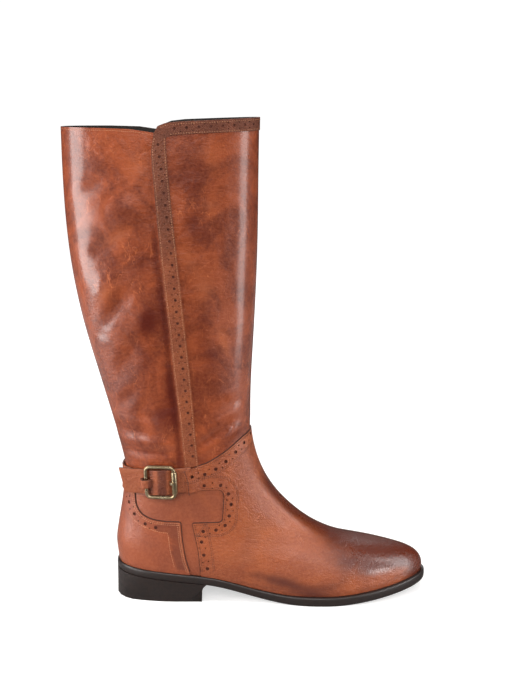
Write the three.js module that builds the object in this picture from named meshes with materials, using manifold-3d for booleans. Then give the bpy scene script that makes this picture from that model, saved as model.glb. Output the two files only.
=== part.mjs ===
// Knee-high riding boot for the right foot, in millimetres.
// +X points to the toe, +Y to the inner side of the leg, +Z up. Along the foot, lengths start at the back of
// the heel; the exported group then moves the origin to the middle of the heel's ground face.
import * as THREE from "three";
import { mergeVertices } from "three/addons/utils/BufferGeometryUtils.js";
import Module from "manifold-3d";

const wasm = await Module();
wasm.setup();

// ---------------------------------------------------------------------------------------------------------
// Driving dimensions
// ---------------------------------------------------------------------------------------------------------
const SOLE_LENGTH = 280; // outsole, heel back to toe tip
const HEEL_CENTRE = 37; // the origin, ahead of the heel's back
const WALL = 2.2; // outer leather with its lining
const INSOLE_THICKNESS = 3.5;
const INSOLE_EASE = 0.7; // between the insole's edge and the upper's inside
const GAP = 0.3; // left between pieces that meet
const TOE_SWING = 6; // how far the toe tip swings to the inner side
const SWING_START = 60; // behind here the foot's middle line is straight
const SEAM_GAP = 0.4; // height between the foot's upper and the shaft
const EDGE_ROUND = 0.9; // rounding of the sole's edge
const FULL_TURN = 2 * Math.PI;

// How finely the meshes are made.
const SEGMENTS = 56; // round a loop of the boot
const FOOT_RINGS = 20; // up the upper
const LEG_RINGS = 13; // up the shaft
const RIDGE_STEP = 0.05; // levels of the last between the ridge's samples
const WIRE_SIDES = 10;
const ROLLER_SIDES = 24;
const BREAST_SIDES = 96;
const CORNER_STEPS = 4; // in each corner of the buckle
const HALVINGS = 36; // of a range, to find a place on the skin

// The last's cross sections.
const ARCH_POWER = 2.3; // how square the foot's is
const OVAL_POWER = 2.25; // how square the leg's is
const SIDE_BULGE = 0.035; // how far the foot's sides swell out above the feather edge
const BULGE_LEVEL = 6; // where that swelling has died away
const SHIN_RISE = 0.22; // levels per millimetre, where the foot's ridge goes on above the ankle

// The sole's line in side view: height of its upper face, and its thickness.
const SOLE_LINE = [
  { x: 0, top: 32.2, thick: 7.0 },
  { x: 40, top: 28.5, thick: 7.0 },
  { x: 80, top: 24.3, thick: 7.0 },
  { x: 90, top: 22.9, thick: 7.0 },
  { x: 108, top: 18.2, thick: 6.9 },
  { x: 130, top: 11.8, thick: 7.1 },
  { x: 150, top: 8.6, thick: 7.5 },
  { x: 163, top: 7.8, thick: 7.8 },
  { x: 195, top: 7.8, thick: 7.8 },
  { x: 215, top: 9.2, thick: 7.9 },
  { x: 240, top: 12.1, thick: 8.0 },
  { x: 262, top: 15.6, thick: 8.2 },
  { x: SOLE_LENGTH, top: 19.2, thick: 8.6 },
];

// How far the sole's edge stands out from the upper, at a share of its length.
const SOLE_FLANGE = [
  { along: 0.0, out: 2.4 },
  { along: 0.3, out: 2.4 },
  { along: 0.5, out: 3.0 },
  { along: 0.65, out: 4.2 },
  { along: 0.9, out: 4.0 },
  { along: 1.0, out: 3.6 },
];

// The feather edge, where upper meets sole, in plan: the half widths, to the outer and the inner side, of an
// ellipse that touches it at a share of its length.
const FEATHER_OUTLINE = [
  { along: 0.0, outer: 60, inner: 60 },
  { along: 0.05, outer: 53, inner: 53 },
  { along: 0.13, outer: 43.5, inner: 43.5 },
  { along: 0.3, outer: 33.5, inner: 31.0 },
  { along: 0.45, outer: 32, inner: 26 },
  { along: 0.55, outer: 37, inner: 31 },
  { along: 0.64, outer: 42, inner: 38 },
  { along: 0.73, outer: 45.5, inner: 44 },
  { along: 0.82, outer: 47, inner: 47 },
  { along: 0.91, outer: 46.5, inner: 45.5 },
  { along: 1.0, outer: 45, inner: 43 },
];

// The last in side view: a row for each loop round the boot, from the feather edge to the collar, with the
// loop's back and front end. follow is how much of the sole's own curve it takes, and sag is how far its
// middle hangs below its ends.
const LOOP_LINES = [
  { name: "feather", backX: 3.0, backZ: 32.2, frontX: 276.8, frontZ: 18.8, follow: 1, sag: 0 },
  { name: "toe wall", backX: 2.2, backZ: 38, frontX: 277.2, frontZ: 25.5, follow: 0.96, sag: 0 },
  { name: "toe cap", backX: 1.4, backZ: 45, frontX: 272.5, frontZ: 34.2, follow: 0.9, sag: 0 },
  { name: "toe top", backX: 1.1, backZ: 52, frontX: 259, frontZ: 40.2, follow: 0.8, sag: 0 },
  { name: "toes", backX: 2.0, backZ: 59, frontX: 234, frontZ: 45.8, follow: 0.65, sag: 0 },
  { name: "ball", backX: 3.2, backZ: 66, frontX: 206, frontZ: 50.8, follow: 0.5, sag: 0 },
  { name: "waist", backX: 4.7, backZ: 74, frontX: 178, frontZ: 63.6, follow: 0.35, sag: 0 },
  { name: "instep", backX: 6.4, backZ: 83, frontX: 155, frontZ: 82.0, follow: 0.2, sag: 1 },
  { name: "tongue line", backX: 7.8, backZ: 92, frontX: 140.5, frontZ: 99, follow: 0.1, sag: 3 },
  { name: "ankle front", backX: 9.0, backZ: 101, frontX: 130.2, frontZ: 118, follow: 0.03, sag: 5 },
  { name: "ankle", backX: 9.6, backZ: 109.5, frontX: 124.6, frontZ: 136, follow: 0, sag: 8 },
  { name: "vamp seam", backX: 9.7, backZ: 117.5, frontX: 121.9, frontZ: 153, follow: 0, sag: 10 },
  { name: "shin", backX: 8.2, backZ: 131, frontX: 121.6, frontZ: 176, follow: 0, sag: 8 },
  { name: "lower calf", backX: 2.4, backZ: 157, frontX: 122.6, frontZ: 205, follow: 0, sag: 4 },
  { name: "calf", backX: -9.6, backZ: 201, frontX: 124.9, frontZ: 243, follow: 0, sag: 1 },
  { name: "calf swell", backX: -23.2, backZ: 252, frontX: 126.9, frontZ: 283, follow: 0, sag: 0 },
  { name: "upper calf", backX: -32.3, backZ: 305, frontX: 128.3, frontZ: 325, follow: 0, sag: 0 },
  { name: "below knee", backX: -36.2, backZ: 360, frontX: 128.9, frontZ: 371, follow: 0, sag: 0 },
  { name: "collar", backX: -36.8, backZ: 415, frontX: 129.7, frontZ: 422.4, follow: 0, sag: 0 },
];

// The last in plan: how far a loop has changed from the foot's outline to the leg's oval, and the oval's half
// widths to the outer and the inner side.
const LOOP_WIDTHS = [
  { name: "feather", leg: 0, outer: 30, inner: 30 },
  { name: "toe top", leg: 0, outer: 31, inner: 31 },
  { name: "toes", leg: 0.02, outer: 32, inner: 32 },
  { name: "ball", leg: 0.08, outer: 33, inner: 33 },
  { name: "waist", leg: 0.2, outer: 33.5, inner: 33.5 },
  { name: "instep", leg: 0.42, outer: 34, inner: 34 },
  { name: "tongue line", leg: 0.64, outer: 34, inner: 34 },
  { name: "ankle front", leg: 0.84, outer: 34, inner: 34 },
  { name: "ankle", leg: 0.96, outer: 34, inner: 34 },
  { name: "vamp seam", leg: 1, outer: 34, inner: 34 },
  { name: "shin", leg: 1, outer: 34.5, inner: 34.5 },
  { name: "lower calf", leg: 1, outer: 36, inner: 36 },
  { name: "calf", leg: 1, outer: 38, inner: 38 },
  { name: "calf swell", leg: 1, outer: 40, inner: 40 },
  { name: "upper calf", leg: 1, outer: 40.5, inner: 40.5 },
  { name: "below knee", leg: 1, outer: 39.5, inner: 39.5 },
  { name: "collar", leg: 1, outer: 38, inner: 38 },
];

// The collar's edge: how far it lies below the straight line between its ends. The rear panel ends lower, and
// the front panel stands up beside it.
const COLLAR_EDGE = [
  { along: 0.0, drop: 0 },
  { along: 0.23, drop: 1.5 },
  { along: 0.37, drop: 3.4 },
  { along: 0.5, drop: 6.8 },
  { along: 0.55, drop: 1.6 },
  { along: 0.71, drop: -0.3 },
  { along: 0.86, drop: -1.0 },
  { along: 1.0, drop: 0 },
];

// Heel
const HEEL_INSET = 0.2; // how far the heel's sides stand in from the sole's edge
const HEEL_TAPER = 2.8; // how much further in they stand at the ground
const HEEL_KICK = 0.3; // how far its back stands out there
const HEEL_ROUND = 0.5; // rounding of its lower edge
const HEEL_LOWEST_SIDE = 0.1; // least height of its sides above that edge
const TAPER_END = 0.1; // share of the sole's length where the kick has become the taper
const BREAST_RADIUS = 100; // the heel's hollow front, in plan
const BREAST_MIDDLE = 73.8; // where its middle stands
const BREAST_STRAIGHT = 11; // height at which it starts to curve forward
const BREAST_FLARE = 8.5; // how far forward it has come where it meets the sole
const BREAST_ARC = 0.97; // how much of a quarter round that curve is
const BREAST_STEPS = 5;
const CUTTER_TOP = 40;

// Ankle straps, by length from the heel's back and height.
const STRAP_WIDTH = 22.3;
const STRAP_THICKNESS = 1.9;
const STRAP_MIDDLE = 113.7; // height of its middle line at the buckle
const STRAP_SLOPE = 0.09; // how much it rises per millimetre towards the toe
const STRAP_FRONT = 68;
const TAIL_START = 31; // where the tail leaves the ankle
const TAIL_LENGTH = 24.4; // along its upper edge
const TAIL_SLANT = 5.5; // how much shorter its lower edge is
const BACK_STRAP_START = 0.53; // turns round the ankle, from under the tail to the zip
const BACK_STRAP_END = -1.13;
const BACK_STRAP_MIDDLE = 113.8;
const BACK_STRAP_DROOP = 3.5; // how far it hangs lower behind the heel

// How far the strap stands off the skin on its way through the buckle.
const STRAP_RISE = [
  { x: TAIL_START - TAIL_LENGTH, rise: 0 },
  { x: 34.4, rise: 0 },
  { x: 37.5, rise: 2.5 },
  { x: 44.5, rise: 2.9 },
  { x: 50.5, rise: 3.0 },
  { x: 54.4, rise: 0 },
  { x: STRAP_FRONT, rise: 0 },
];

// The bridge is a band slit from the strap that passes over the prong's eye.
const BRIDGE_WIDTH = 7;
const BRIDGE_FRONT = 39;
const BRIDGE_BACK = 24.5;
const BRIDGE_RISE = [
  { x: BRIDGE_BACK, rise: 0 },
  { x: 26, rise: 0.6 },
  { x: 29.3, rise: 7.2 },
  { x: 31.9, rise: 8.0 },
  { x: 34.4, rise: 7.2 },
  { x: 37.5, rise: 2.9 },
  { x: BRIDGE_FRONT, rise: 2.3 },
];
const SLOT_WIDTH = 7.6; // what the bridge was slit from
const SLOT_FRONT = 37.2;
const SLOT_BACK = 26.4;
const SLOT_DEPTH = 6;

// Buckle
const BUCKLE_MIDDLE = 44.8;
const BUCKLE_HEIGHT = 30.6; // over its wire
const BUCKLE_TILT = 0.045; // its front end higher than its back, in radians
const BUCKLE_CORNER = 4; // radius of the wire's middle line
const BAR_SPACING = 25.7; // between the middles of its upright bars
const WIRE = 3.3;
const BACK_BAR_RISE = 4.55; // middle of the back bar above the skin
const FRONT_BAR_RISE = 5.4;
const ROLLER_RADIUS = 2.45;
const ROLLER_LENGTH = 19.2;
const EYE_THICKNESS = 0.8;
const PRONG_WIDTH = 2.4;
const PRONG_THICKNESS = 1.4;
const PRONG_HOLE = { x: 8, length: 6.5, width: 3.4, depth: 9 };

// The middle of the prong's shank, from the back bar to the roller, and its place out of the frame's plane.
const PRONG_SPINE = [
  { x: -12.85, out: -2.65 },
  { x: -6, out: -2.2 },
  { x: 0, out: -1.9 },
  { x: 6, out: -1.8 },
  { x: 8.3, out: -1.0 },
  { x: 9.3, out: 0.7 },
  { x: 10.6, out: 2.85 },
  { x: 12.2, out: 3.6 },
  { x: 13.4, out: 3.55 },
];

// Zip, up the inner side
const ZIP_ROUTE = [
  { z: 44, x: 72 },
  { z: 80, x: 61 },
  { z: 115, x: 51 },
  { z: 160, x: 43 },
  { z: 220, x: 35 },
  { z: 300, x: 26 },
  { z: 360, x: 22 },
  { z: 408, x: 19.9 },
];
const ZIP_WIDTH = 7;
const ZIP_THICKNESS = 1.2;
const SLIDER_HEIGHT = 399;
const SLIDER_LENGTH = 11;
const SLIDER_WIDTH = 8.6;
const SLIDER_FOOT_WIDTH = 6;
const SLIDER_THICKNESS = 1.8;
const BAIL_LENGTH = 6;
const BAIL_HEIGHT = 4.1;
const BAIL_WIRE = 1.1;
const BAIL_SHOULDER = 1; // how far its ends round off
const BAIL_ROOT = 0.5; // how deep it stands in the slider
const BAIL_CROWN = 0.2; // extra thickness over its eye
const BAIL_WIDTH = 1.8;
const PULL_AXIS_OUT = 1.4; // the pull's bar, from the slider's face
const PULL_AXIS_UP = -0.4;
const PULL_LENGTH = 26;
const PULL_WIDTH = 7.5;
const PULL_RAIL = 1.2;
const PULL_WINDOW = 6.2;
const PULL_BAR = 1.2;

// ---------------------------------------------------------------------------------------------------------
// Curves
// ---------------------------------------------------------------------------------------------------------
const { lerp, clamp, smoothstep } = THREE.MathUtils;

// A smooth curve through a table's rows that never swings past them: one column's value against another's.
function tableCurve(rows, across, column) {
  const xs = rows.map((row) => row[across]);
  const ys = rows.map((row) => row[column]);
  const rise = xs.slice(1).map((x, i) => (ys[i + 1] - ys[i]) / (x - xs[i]));
  const slopes = xs.map((_, i) => {
    const before = rise[i - 1] ?? rise[0];
    const after = rise[i] ?? rise[rise.length - 1];
    return before * after <= 0 ? 0 : (2 * before * after) / (before + after);
  });
  return (x) => {
    const at = clamp(x, xs[0], xs[xs.length - 1]);
    const i = Math.min(xs.findLastIndex((start) => start <= at), xs.length - 2);
    const width = xs[i + 1] - xs[i];
    const t = (at - xs[i]) / width;
    const u = 1 - t;
    return u * u * (1 + 2 * t) * ys[i] + t * t * (3 - 2 * t) * ys[i + 1]
      + t * u * width * (u * slopes[i] - t * slopes[i + 1]);
  };
}

const COLLAR = LOOP_LINES.length - 1;
const levelOf = (name) => LOOP_LINES.findIndex((loop) => loop.name === name);
const VAMP_SEAM = levelOf("vamp seam");
const ANKLE_FRONT = levelOf("ankle front");

// A spline through one column of the loops' lines, against the loop's number.
function loopSpline(column) {
  const curve = new THREE.SplineCurve(LOOP_LINES.map((loop, i) => new THREE.Vector2(i, loop[column])));
  return (level) => curve.getPoint(level / COLLAR).y;
}

const widthRows = LOOP_WIDTHS.map((row) => ({ ...row, level: levelOf(row.name) }));
const loopAt = {
  backX: loopSpline("backX"),
  backZ: loopSpline("backZ"),
  frontX: loopSpline("frontX"),
  frontZ: loopSpline("frontZ"),
  follow: loopSpline("follow"),
  sag: loopSpline("sag"),
  leg: tableCurve(widthRows, "level", "leg"),
  outer: tableCurve(widthRows, "level", "outer"),
  inner: tableCurve(widthRows, "level", "inner"),
};
const featherHalf = {
  outer: tableCurve(FEATHER_OUTLINE, "along", "outer"),
  inner: tableCurve(FEATHER_OUTLINE, "along", "inner"),
};
const flangeAt = tableCurve(SOLE_FLANGE, "along", "out");
const collarDrop = tableCurve(COLLAR_EDGE, "along", "drop");
const soleTop = tableCurve(SOLE_LINE, "x", "top");
const soleThickness = tableCurve(SOLE_LINE, "x", "thick");
const soleBottom = (x) => soleTop(x) - soleThickness(x);

// ---------------------------------------------------------------------------------------------------------
// The last's surface
// ---------------------------------------------------------------------------------------------------------
const FEATHER_FRONT = LOOP_LINES[0].frontX;

// The ridge of the foot, toe to ankle: which loop has its front end at x.
const ridge = [];
for (let level = 0; level <= ANKLE_FRONT; level += RIDGE_STEP) ridge.push({ level, x: loopAt.frontX(level) });

function ridgeLevel(x) {
  const last = ridge[ridge.length - 1];
  if (x <= last.x) return last.level + (last.x - x) * SHIN_RISE;
  const i = Math.max(0, ridge.findLastIndex((at) => at.x >= x));
  return lerp(ridge[i].level, ridge[i + 1].level, (ridge[i].x - x) / (ridge[i].x - ridge[i + 1].x));
}

const toeSwing = (x) => TOE_SWING * smoothstep(x, SWING_START, SOLE_LENGTH);

// How far a turn round the boot lies along it, from 0 at the back to 1 at the front.
const alongTurn = (turn) => (1 - Math.cos(turn)) / 2;

// A point of the last. turn runs round the loop from the back, 0 to PI on the outer side and on to 2 PI.
function lastPoint(level, turn) {
  const side = turn <= Math.PI ? "outer" : "inner";
  const along = alongTurn(turn);
  const backX = loopAt.backX(level);
  const frontX = loopAt.frontX(level);
  const x = lerp(backX, frontX, along);
  const line = lerp(loopAt.backZ(level), loopAt.frontZ(level), along);
  const soleLine = lerp(soleTop(backX), soleTop(frontX), along);
  const sag = loopAt.sag(level) * 4 * along * (1 - along);
  const z = line + loopAt.follow(level) * (soleTop(x) - soleLine) - sag;

  const onFeather = (x - backX) / (Math.max(frontX, FEATHER_FRONT) - backX);
  const height = clamp(level / Math.max(ridgeLevel(x), level, RIDGE_STEP), 0, 1);
  const arch = (1 - height ** ARCH_POWER) ** (1 / ARCH_POWER);
  const bulge = 1 + SIDE_BULGE * Math.sin(Math.PI * Math.min(1, level / BULGE_LEVEL));
  const foot = 2 * Math.sqrt(onFeather * (1 - onFeather)) * featherHalf[side](onFeather) * arch * bulge;
  const oval = loopAt[side](level) * (1 - Math.abs(Math.cos(turn)) ** OVAL_POWER) ** (1 / OVAL_POWER);
  const leg = loopAt.leg(level);
  const half = lerp(foot, oval, leg);
  return new THREE.Vector3(x, toeSwing(x) * (1 - leg) + (side === "outer" ? -half : half), z);
}

// The same point moved out by a distance along the surface's normal.
function skinPoint(level, turn, out = 0) {
  const point = lastPoint(level, turn);
  const step = 0.02;
  const up = lastPoint(Math.min(COLLAR, level + step), turn).sub(lastPoint(Math.max(0, level - step), turn));
  const before = (turn - step + FULL_TURN) % FULL_TURN;
  const round = lastPoint(level, (turn + step) % FULL_TURN).sub(lastPoint(level, before));
  return point.addScaledVector(round.cross(up).normalize(), out);
}

// Halves a range of one number until a rising measure of it meets its goal.
function solveRising(low, high, goal, measure) {
  let [from, to] = [low, high];
  for (let k = 0; k < HALVINGS; k++) {
    const middle = (from + to) / 2;
    if (measure(middle) < goal) from = middle;
    else to = middle;
  }
  return (from + to) / 2;
}

// The skin's point at a height, on a turn round the boot.
function skinAtHeight(turn, z, out = 0) {
  const level = solveRising(0, COLLAR, z, (at) => lastPoint(at, turn).z);
  return skinPoint(level, turn, out);
}

// The skin's point at a length and a height, on the outer or the inner side.
function skinAt(side, x, z, out = 0) {
  const toTurn = (share) => (side === "outer" ? share * Math.PI : FULL_TURN - share * Math.PI);
  const share = solveRising(0.001, 0.999, x, (at) => skinAtHeight(toTurn(at), z).x);
  return skinAtHeight(toTurn(share), z, out);
}

// ---------------------------------------------------------------------------------------------------------
// Meshes from loops
// ---------------------------------------------------------------------------------------------------------
const range = (count) => Array.from({ length: count }, (_, i) => i);
const spread = (from, to, steps) => range(steps + 1).map((k) => lerp(from, to, k / steps));

// Skins a stack of loops with equal numbers of points. In a closed stack the last loop joins the first, and
// an open one is capped at both ends.
function skin(loops, closed) {
  const count = loops[0].length;
  const joins = closed ? loops.length : loops.length - 1;
  const faces = [];
  for (let k = 0; k < joins; k++) {
    const low = k * count;
    const high = ((k + 1) % loops.length) * count;
    for (let i = 0; i < count; i++) {
      const next = (i + 1) % count;
      faces.push([low + i, low + next, high + next], [low + i, high + next, high + i]);
    }
  }
  if (!closed) {
    const top = (loops.length - 1) * count;
    for (const [a, b, c] of capFaces(count)) faces.push([c, b, a], [top + a, top + b, top + c]);
  }
  const geometry = new THREE.BufferGeometry().setFromPoints(loops.flat());
  const outward = signedVolume(loops.flat(), faces) > 0;
  geometry.setIndex(faces.flatMap(([a, b, c]) => (outward ? [a, b, c] : [a, c, b])));
  return geometry;
}

// Faces across a loop, in strips between the points of its two halves that face each other.
function capFaces(count) {
  const faces = [];
  for (let i = 0; i < count / 2; i++) {
    const across = (count - i - 1) % count;
    const acrossBefore = (count - i) % count;
    if (i + 1 !== across) faces.push([i, i + 1, across]);
    if (i !== acrossBefore) faces.push([i, across, acrossBefore]);
  }
  return faces;
}

function signedVolume(points, faces) {
  const triple = ([a, b, c]) => points[a].dot(points[b].clone().cross(points[c]));
  return faces.reduce((sum, face) => sum + triple(face), 0) / 6;
}

// Joins and cuts closed geometries.
function solidOf(geometry) {
  const bare = geometry.clone();
  bare.deleteAttribute("normal");
  bare.deleteAttribute("uv");
  const merged = mergeVertices(bare, 1e-4);
  return new wasm.Manifold(new wasm.Mesh({
    numProp: 3,
    vertProperties: merged.attributes.position.array,
    triVerts: new Uint32Array(merged.index.array),
  }));
}

function geometryOf(solid) {
  const mesh = solid.getMesh();
  const geometry = new THREE.BufferGeometry();
  geometry.setAttribute("position", new THREE.BufferAttribute(mesh.vertProperties, 3));
  geometry.setIndex(new THREE.BufferAttribute(mesh.triVerts, 1));
  return geometry;
}

// ---------------------------------------------------------------------------------------------------------
// Upper and shaft
// ---------------------------------------------------------------------------------------------------------
// A wall between two levels of the last, up its outside and down its inside. shape may move a ring's points.
function wall(low, high, rings, shape) {
  const turns = range(SEGMENTS).map((i) => (i / SEGMENTS) * FULL_TURN);
  const ring = (level, out) => turns.map((turn) => shape(skinPoint(level, turn, out), level, turn));
  const levels = spread(low, high, rings);
  const outside = levels.map((level) => ring(level, 0));
  const inside = levels.map((level) => ring(level, -WALL));
  return skin([...outside, ...inside.reverse()], true);
}

// The foot's upper, of vamp and quarters: open below, where the sole closes it, and above, at the shaft.
function upperGeometry() {
  return wall(0, VAMP_SEAM, FOOT_RINGS, (point, level) => {
    if (level === 0) point.z = soleTop(point.x) + GAP;
    return point;
  });
}

// The leg's shaft, from the vamp seam to the collar.
function shaftGeometry() {
  return wall(VAMP_SEAM, COLLAR, LEG_RINGS, (point, level, turn) => {
    if (level === VAMP_SEAM) point.z += SEAM_GAP;
    point.z -= smoothstep(level, COLLAR - 1, COLLAR) * collarDrop(alongTurn(turn));
    return point;
  });
}

// ---------------------------------------------------------------------------------------------------------
// Outsole, heel and insole
// ---------------------------------------------------------------------------------------------------------
// The feather edge in plan, moved out by a distance that may change along it.
function outline(outAt) {
  const flat = range(SEGMENTS).map((i) => lastPoint(0, (i / SEGMENTS) * FULL_TURN).setZ(0));
  return flat.map((point, i) => {
    const before = flat[(i + SEGMENTS - 1) % SEGMENTS];
    const after = flat[(i + 1) % SEGMENTS];
    const direction = after.clone().sub(before).normalize();
    const out = outAt(alongTurn((i / SEGMENTS) * FULL_TURN));
    return new THREE.Vector3(point.x + direction.y * out, point.y - direction.x * out, 0);
  });
}

const lift = (loop, heightAt) => loop.map((point) => point.clone().setZ(heightAt(point.x)));

function outsoleGeometry() {
  const full = outline(flangeAt);
  const eased = outline((along) => flangeAt(along) - EDGE_ROUND);
  return skin([
    lift(eased, soleBottom),
    lift(full, (x) => soleBottom(x) + EDGE_ROUND),
    lift(full, (x) => soleTop(x) - EDGE_ROUND),
    lift(eased, soleTop),
  ], false);
}

// The heel is the sole's outline stood on the ground, cut in front by a round hollow that flares at its top.
function heelGeometry() {
  const side = outline((along) => flangeAt(along) - HEEL_INSET);
  const taper = (along) => lerp(-HEEL_KICK, HEEL_TAPER, smoothstep(along, 0, TAPER_END));
  const low = outline((along) => flangeAt(along) - HEEL_INSET - taper(along));
  const foot = outline((along) => flangeAt(along) - HEEL_INSET - taper(along) - HEEL_ROUND);
  const block = skin([
    lift(foot, () => 0),
    lift(low, () => HEEL_ROUND),
    lift(side, (x) => Math.max(HEEL_ROUND + HEEL_LOWEST_SIDE, soleBottom(x) - GAP)),
  ], false);
  const flareTop = soleBottom(BREAST_MIDDLE);
  const profile = [new THREE.Vector2(0, -1), new THREE.Vector2(BREAST_RADIUS, -1)];
  for (const share of spread(0, 1, BREAST_STEPS)) {
    const bend = 1 - Math.sqrt(1 - (share * BREAST_ARC) ** 2);
    const z = lerp(BREAST_STRAIGHT, flareTop, share);
    profile.push(new THREE.Vector2(BREAST_RADIUS - BREAST_FLARE * bend, z));
  }
  const flared = profile[profile.length - 1].x;
  profile.push(new THREE.Vector2(flared, CUTTER_TOP), new THREE.Vector2(0, CUTTER_TOP));
  const cutter = new THREE.LatheGeometry(profile, BREAST_SIDES);
  cutter.rotateX(Math.PI / 2);
  cutter.translate(BREAST_MIDDLE + BREAST_RADIUS, 0, 0);
  const ahead = new THREE.BoxGeometry(2 * SOLE_LENGTH, SOLE_LENGTH, 2 * CUTTER_TOP);
  ahead.translate(BREAST_MIDDLE + BREAST_RADIUS / 3 + SOLE_LENGTH, 0, 0);
  return geometryOf(solidOf(block).subtract(solidOf(cutter)).subtract(solidOf(ahead)));
}

function insoleGeometry() {
  const edge = outline(() => -WALL - INSOLE_EASE);
  return skin([
    lift(edge, (x) => soleTop(x) + GAP),
    lift(edge, (x) => soleTop(x) + GAP + INSOLE_THICKNESS),
  ], false);
}

// ---------------------------------------------------------------------------------------------------------
// Ankle straps
// ---------------------------------------------------------------------------------------------------------
// A band that stands on the skin: columns of heights, each with its place along the band and its own rise.
function bandSection(heights, pointAt) {
  const inside = heights.map((z) => pointAt(z, 0));
  const outside = heights.map((z) => pointAt(z, STRAP_THICKNESS));
  return [...inside, ...outside.reverse()];
}

const strapRise = tableCurve(STRAP_RISE, "x", "rise");
const bridgeRise = tableCurve(BRIDGE_RISE, "x", "rise");
const strapMiddle = (x) => STRAP_MIDDLE + STRAP_SLOPE * (Math.max(x, TAIL_START) - BUCKLE_MIDDLE);

// The buckle's own axes: x along the strap to the toe, z up it, and y into the ankle. Its group stands it
// where its two upright bars clear the strap.
const barBack = skinAt("outer", BUCKLE_MIDDLE - BAR_SPACING / 2, STRAP_MIDDLE, BACK_BAR_RISE);
const barFront = skinAt("outer", BUCKLE_MIDDLE + BAR_SPACING / 2, STRAP_MIDDLE, FRONT_BAR_RISE);
const barToBar = barFront.clone().sub(barBack).setZ(0).normalize();
const buckle = new THREE.Group();
buckle.position.copy(barBack).add(barFront).multiplyScalar(0.5).setZ(STRAP_MIDDLE);
buckle.rotation.set(0, -BUCKLE_TILT, Math.atan2(barToBar.y, barToBar.x), "ZYX");
buckle.updateMatrix();

// The buckle strap runs back from the vamp, under the buckle's bars and over its prong. Its tail leaves the
// ankle on a straight line, in the buckle's own direction.
function strapPoint(x, up, out) {
  const point = skinAt("outer", Math.max(x, TAIL_START), strapMiddle(x) + up, GAP + out);
  return point.addScaledVector(barToBar, Math.min(0, x - TAIL_START));
}

function strapGeometry() {
  const edge = STRAP_WIDTH / 2;
  const rows = spread(-edge, edge, 4);
  const band = (x, ups, riseAt) => bandSection(ups, (up, out) => strapPoint(x, up, out + riseAt(x)));
  const onSkin = spread(STRAP_FRONT, TAIL_START, 22).map((x) => band(x, rows, strapRise));
  const tipAt = (up) => TAIL_LENGTH - (TAIL_SLANT * (edge - up)) / STRAP_WIDTH;
  const tail = spread(0, 1, 5).slice(1).map((share) => (
    bandSection(rows, (up, out) => strapPoint(TAIL_START - share * tipAt(up), up, out))));
  const whole = solidOf(skin([...onSkin, ...tail], false));

  const bridgeRows = spread(-BRIDGE_WIDTH / 2, BRIDGE_WIDTH / 2, 2);
  const bridge = spread(BRIDGE_FRONT, BRIDGE_BACK, 14).map((x) => band(x, bridgeRows, bridgeRise));
  const slotRows = [-SLOT_WIDTH / 2, SLOT_WIDTH / 2];
  const slot = spread(SLOT_FRONT, SLOT_BACK, 8).map((x) => [
    ...slotRows.map((up) => strapPoint(x, up, -1)),
    ...slotRows.map((up) => strapPoint(x, up, SLOT_DEPTH)).reverse(),
  ]);
  const cut = whole.subtract(solidOf(skin(slot, false))).subtract(prongHole());
  return geometryOf(cut.add(solidOf(skin(bridge, false))));
}

// The strap behind the ankle, from under the buckle strap's tail round the heel to the zip.
function backStrapGeometry() {
  const sections = spread(BACK_STRAP_START, BACK_STRAP_END, 24).map((turn) => {
    const middle = BACK_STRAP_MIDDLE - BACK_STRAP_DROOP * Math.cos(turn) ** 2;
    const heights = spread(middle - STRAP_WIDTH / 2, middle + STRAP_WIDTH / 2, 4);
    return bandSection(heights, (z, out) => skinAtHeight((turn + FULL_TURN) % FULL_TURN, z, GAP + out));
  });
  return skin(sections, false);
}

// ---------------------------------------------------------------------------------------------------------
// Buckle
// ---------------------------------------------------------------------------------------------------------
// A rounded rectangle of round wire.
function buckleFrameGeometry() {
  const reachX = BAR_SPACING / 2 - BUCKLE_CORNER;
  const reachZ = (BUCKLE_HEIGHT - WIRE) / 2 - BUCKLE_CORNER;
  const corners = [[1, 1], [-1, 1], [-1, -1], [1, -1]];
  const sections = corners.flatMap(([signX, signZ], k) => spread(0, 1, CORNER_STEPS).map((share) => {
    const angle = (k + share) * (Math.PI / 2);
    const outward = new THREE.Vector3(Math.cos(angle), 0, Math.sin(angle));
    const corner = new THREE.Vector3(signX * reachX, 0, signZ * reachZ);
    const centre = corner.addScaledVector(outward, BUCKLE_CORNER);
    return range(WIRE_SIDES).map((i) => {
      const round = (i / WIRE_SIDES) * FULL_TURN;
      const point = centre.clone().addScaledVector(outward, (WIRE / 2) * Math.cos(round));
      return point.setY((WIRE / 2) * Math.sin(round));
    });
  }));
  return skin(sections, true);
}

// A sleeve that turns on the front bar.
function rollerGeometry() {
  const inner = WIRE / 2 + GAP;
  const half = ROLLER_LENGTH / 2;
  const outer = ROLLER_RADIUS;
  const corners = [[inner, -half], [outer, -half], [outer, half], [inner, half], [inner, -half]];
  const sleeve = new THREE.LatheGeometry(corners.map(([r, z]) => new THREE.Vector2(r, z)), ROLLER_SIDES);
  return sleeve.rotateX(Math.PI / 2).translate(BAR_SPACING / 2, 0, 0);
}

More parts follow.
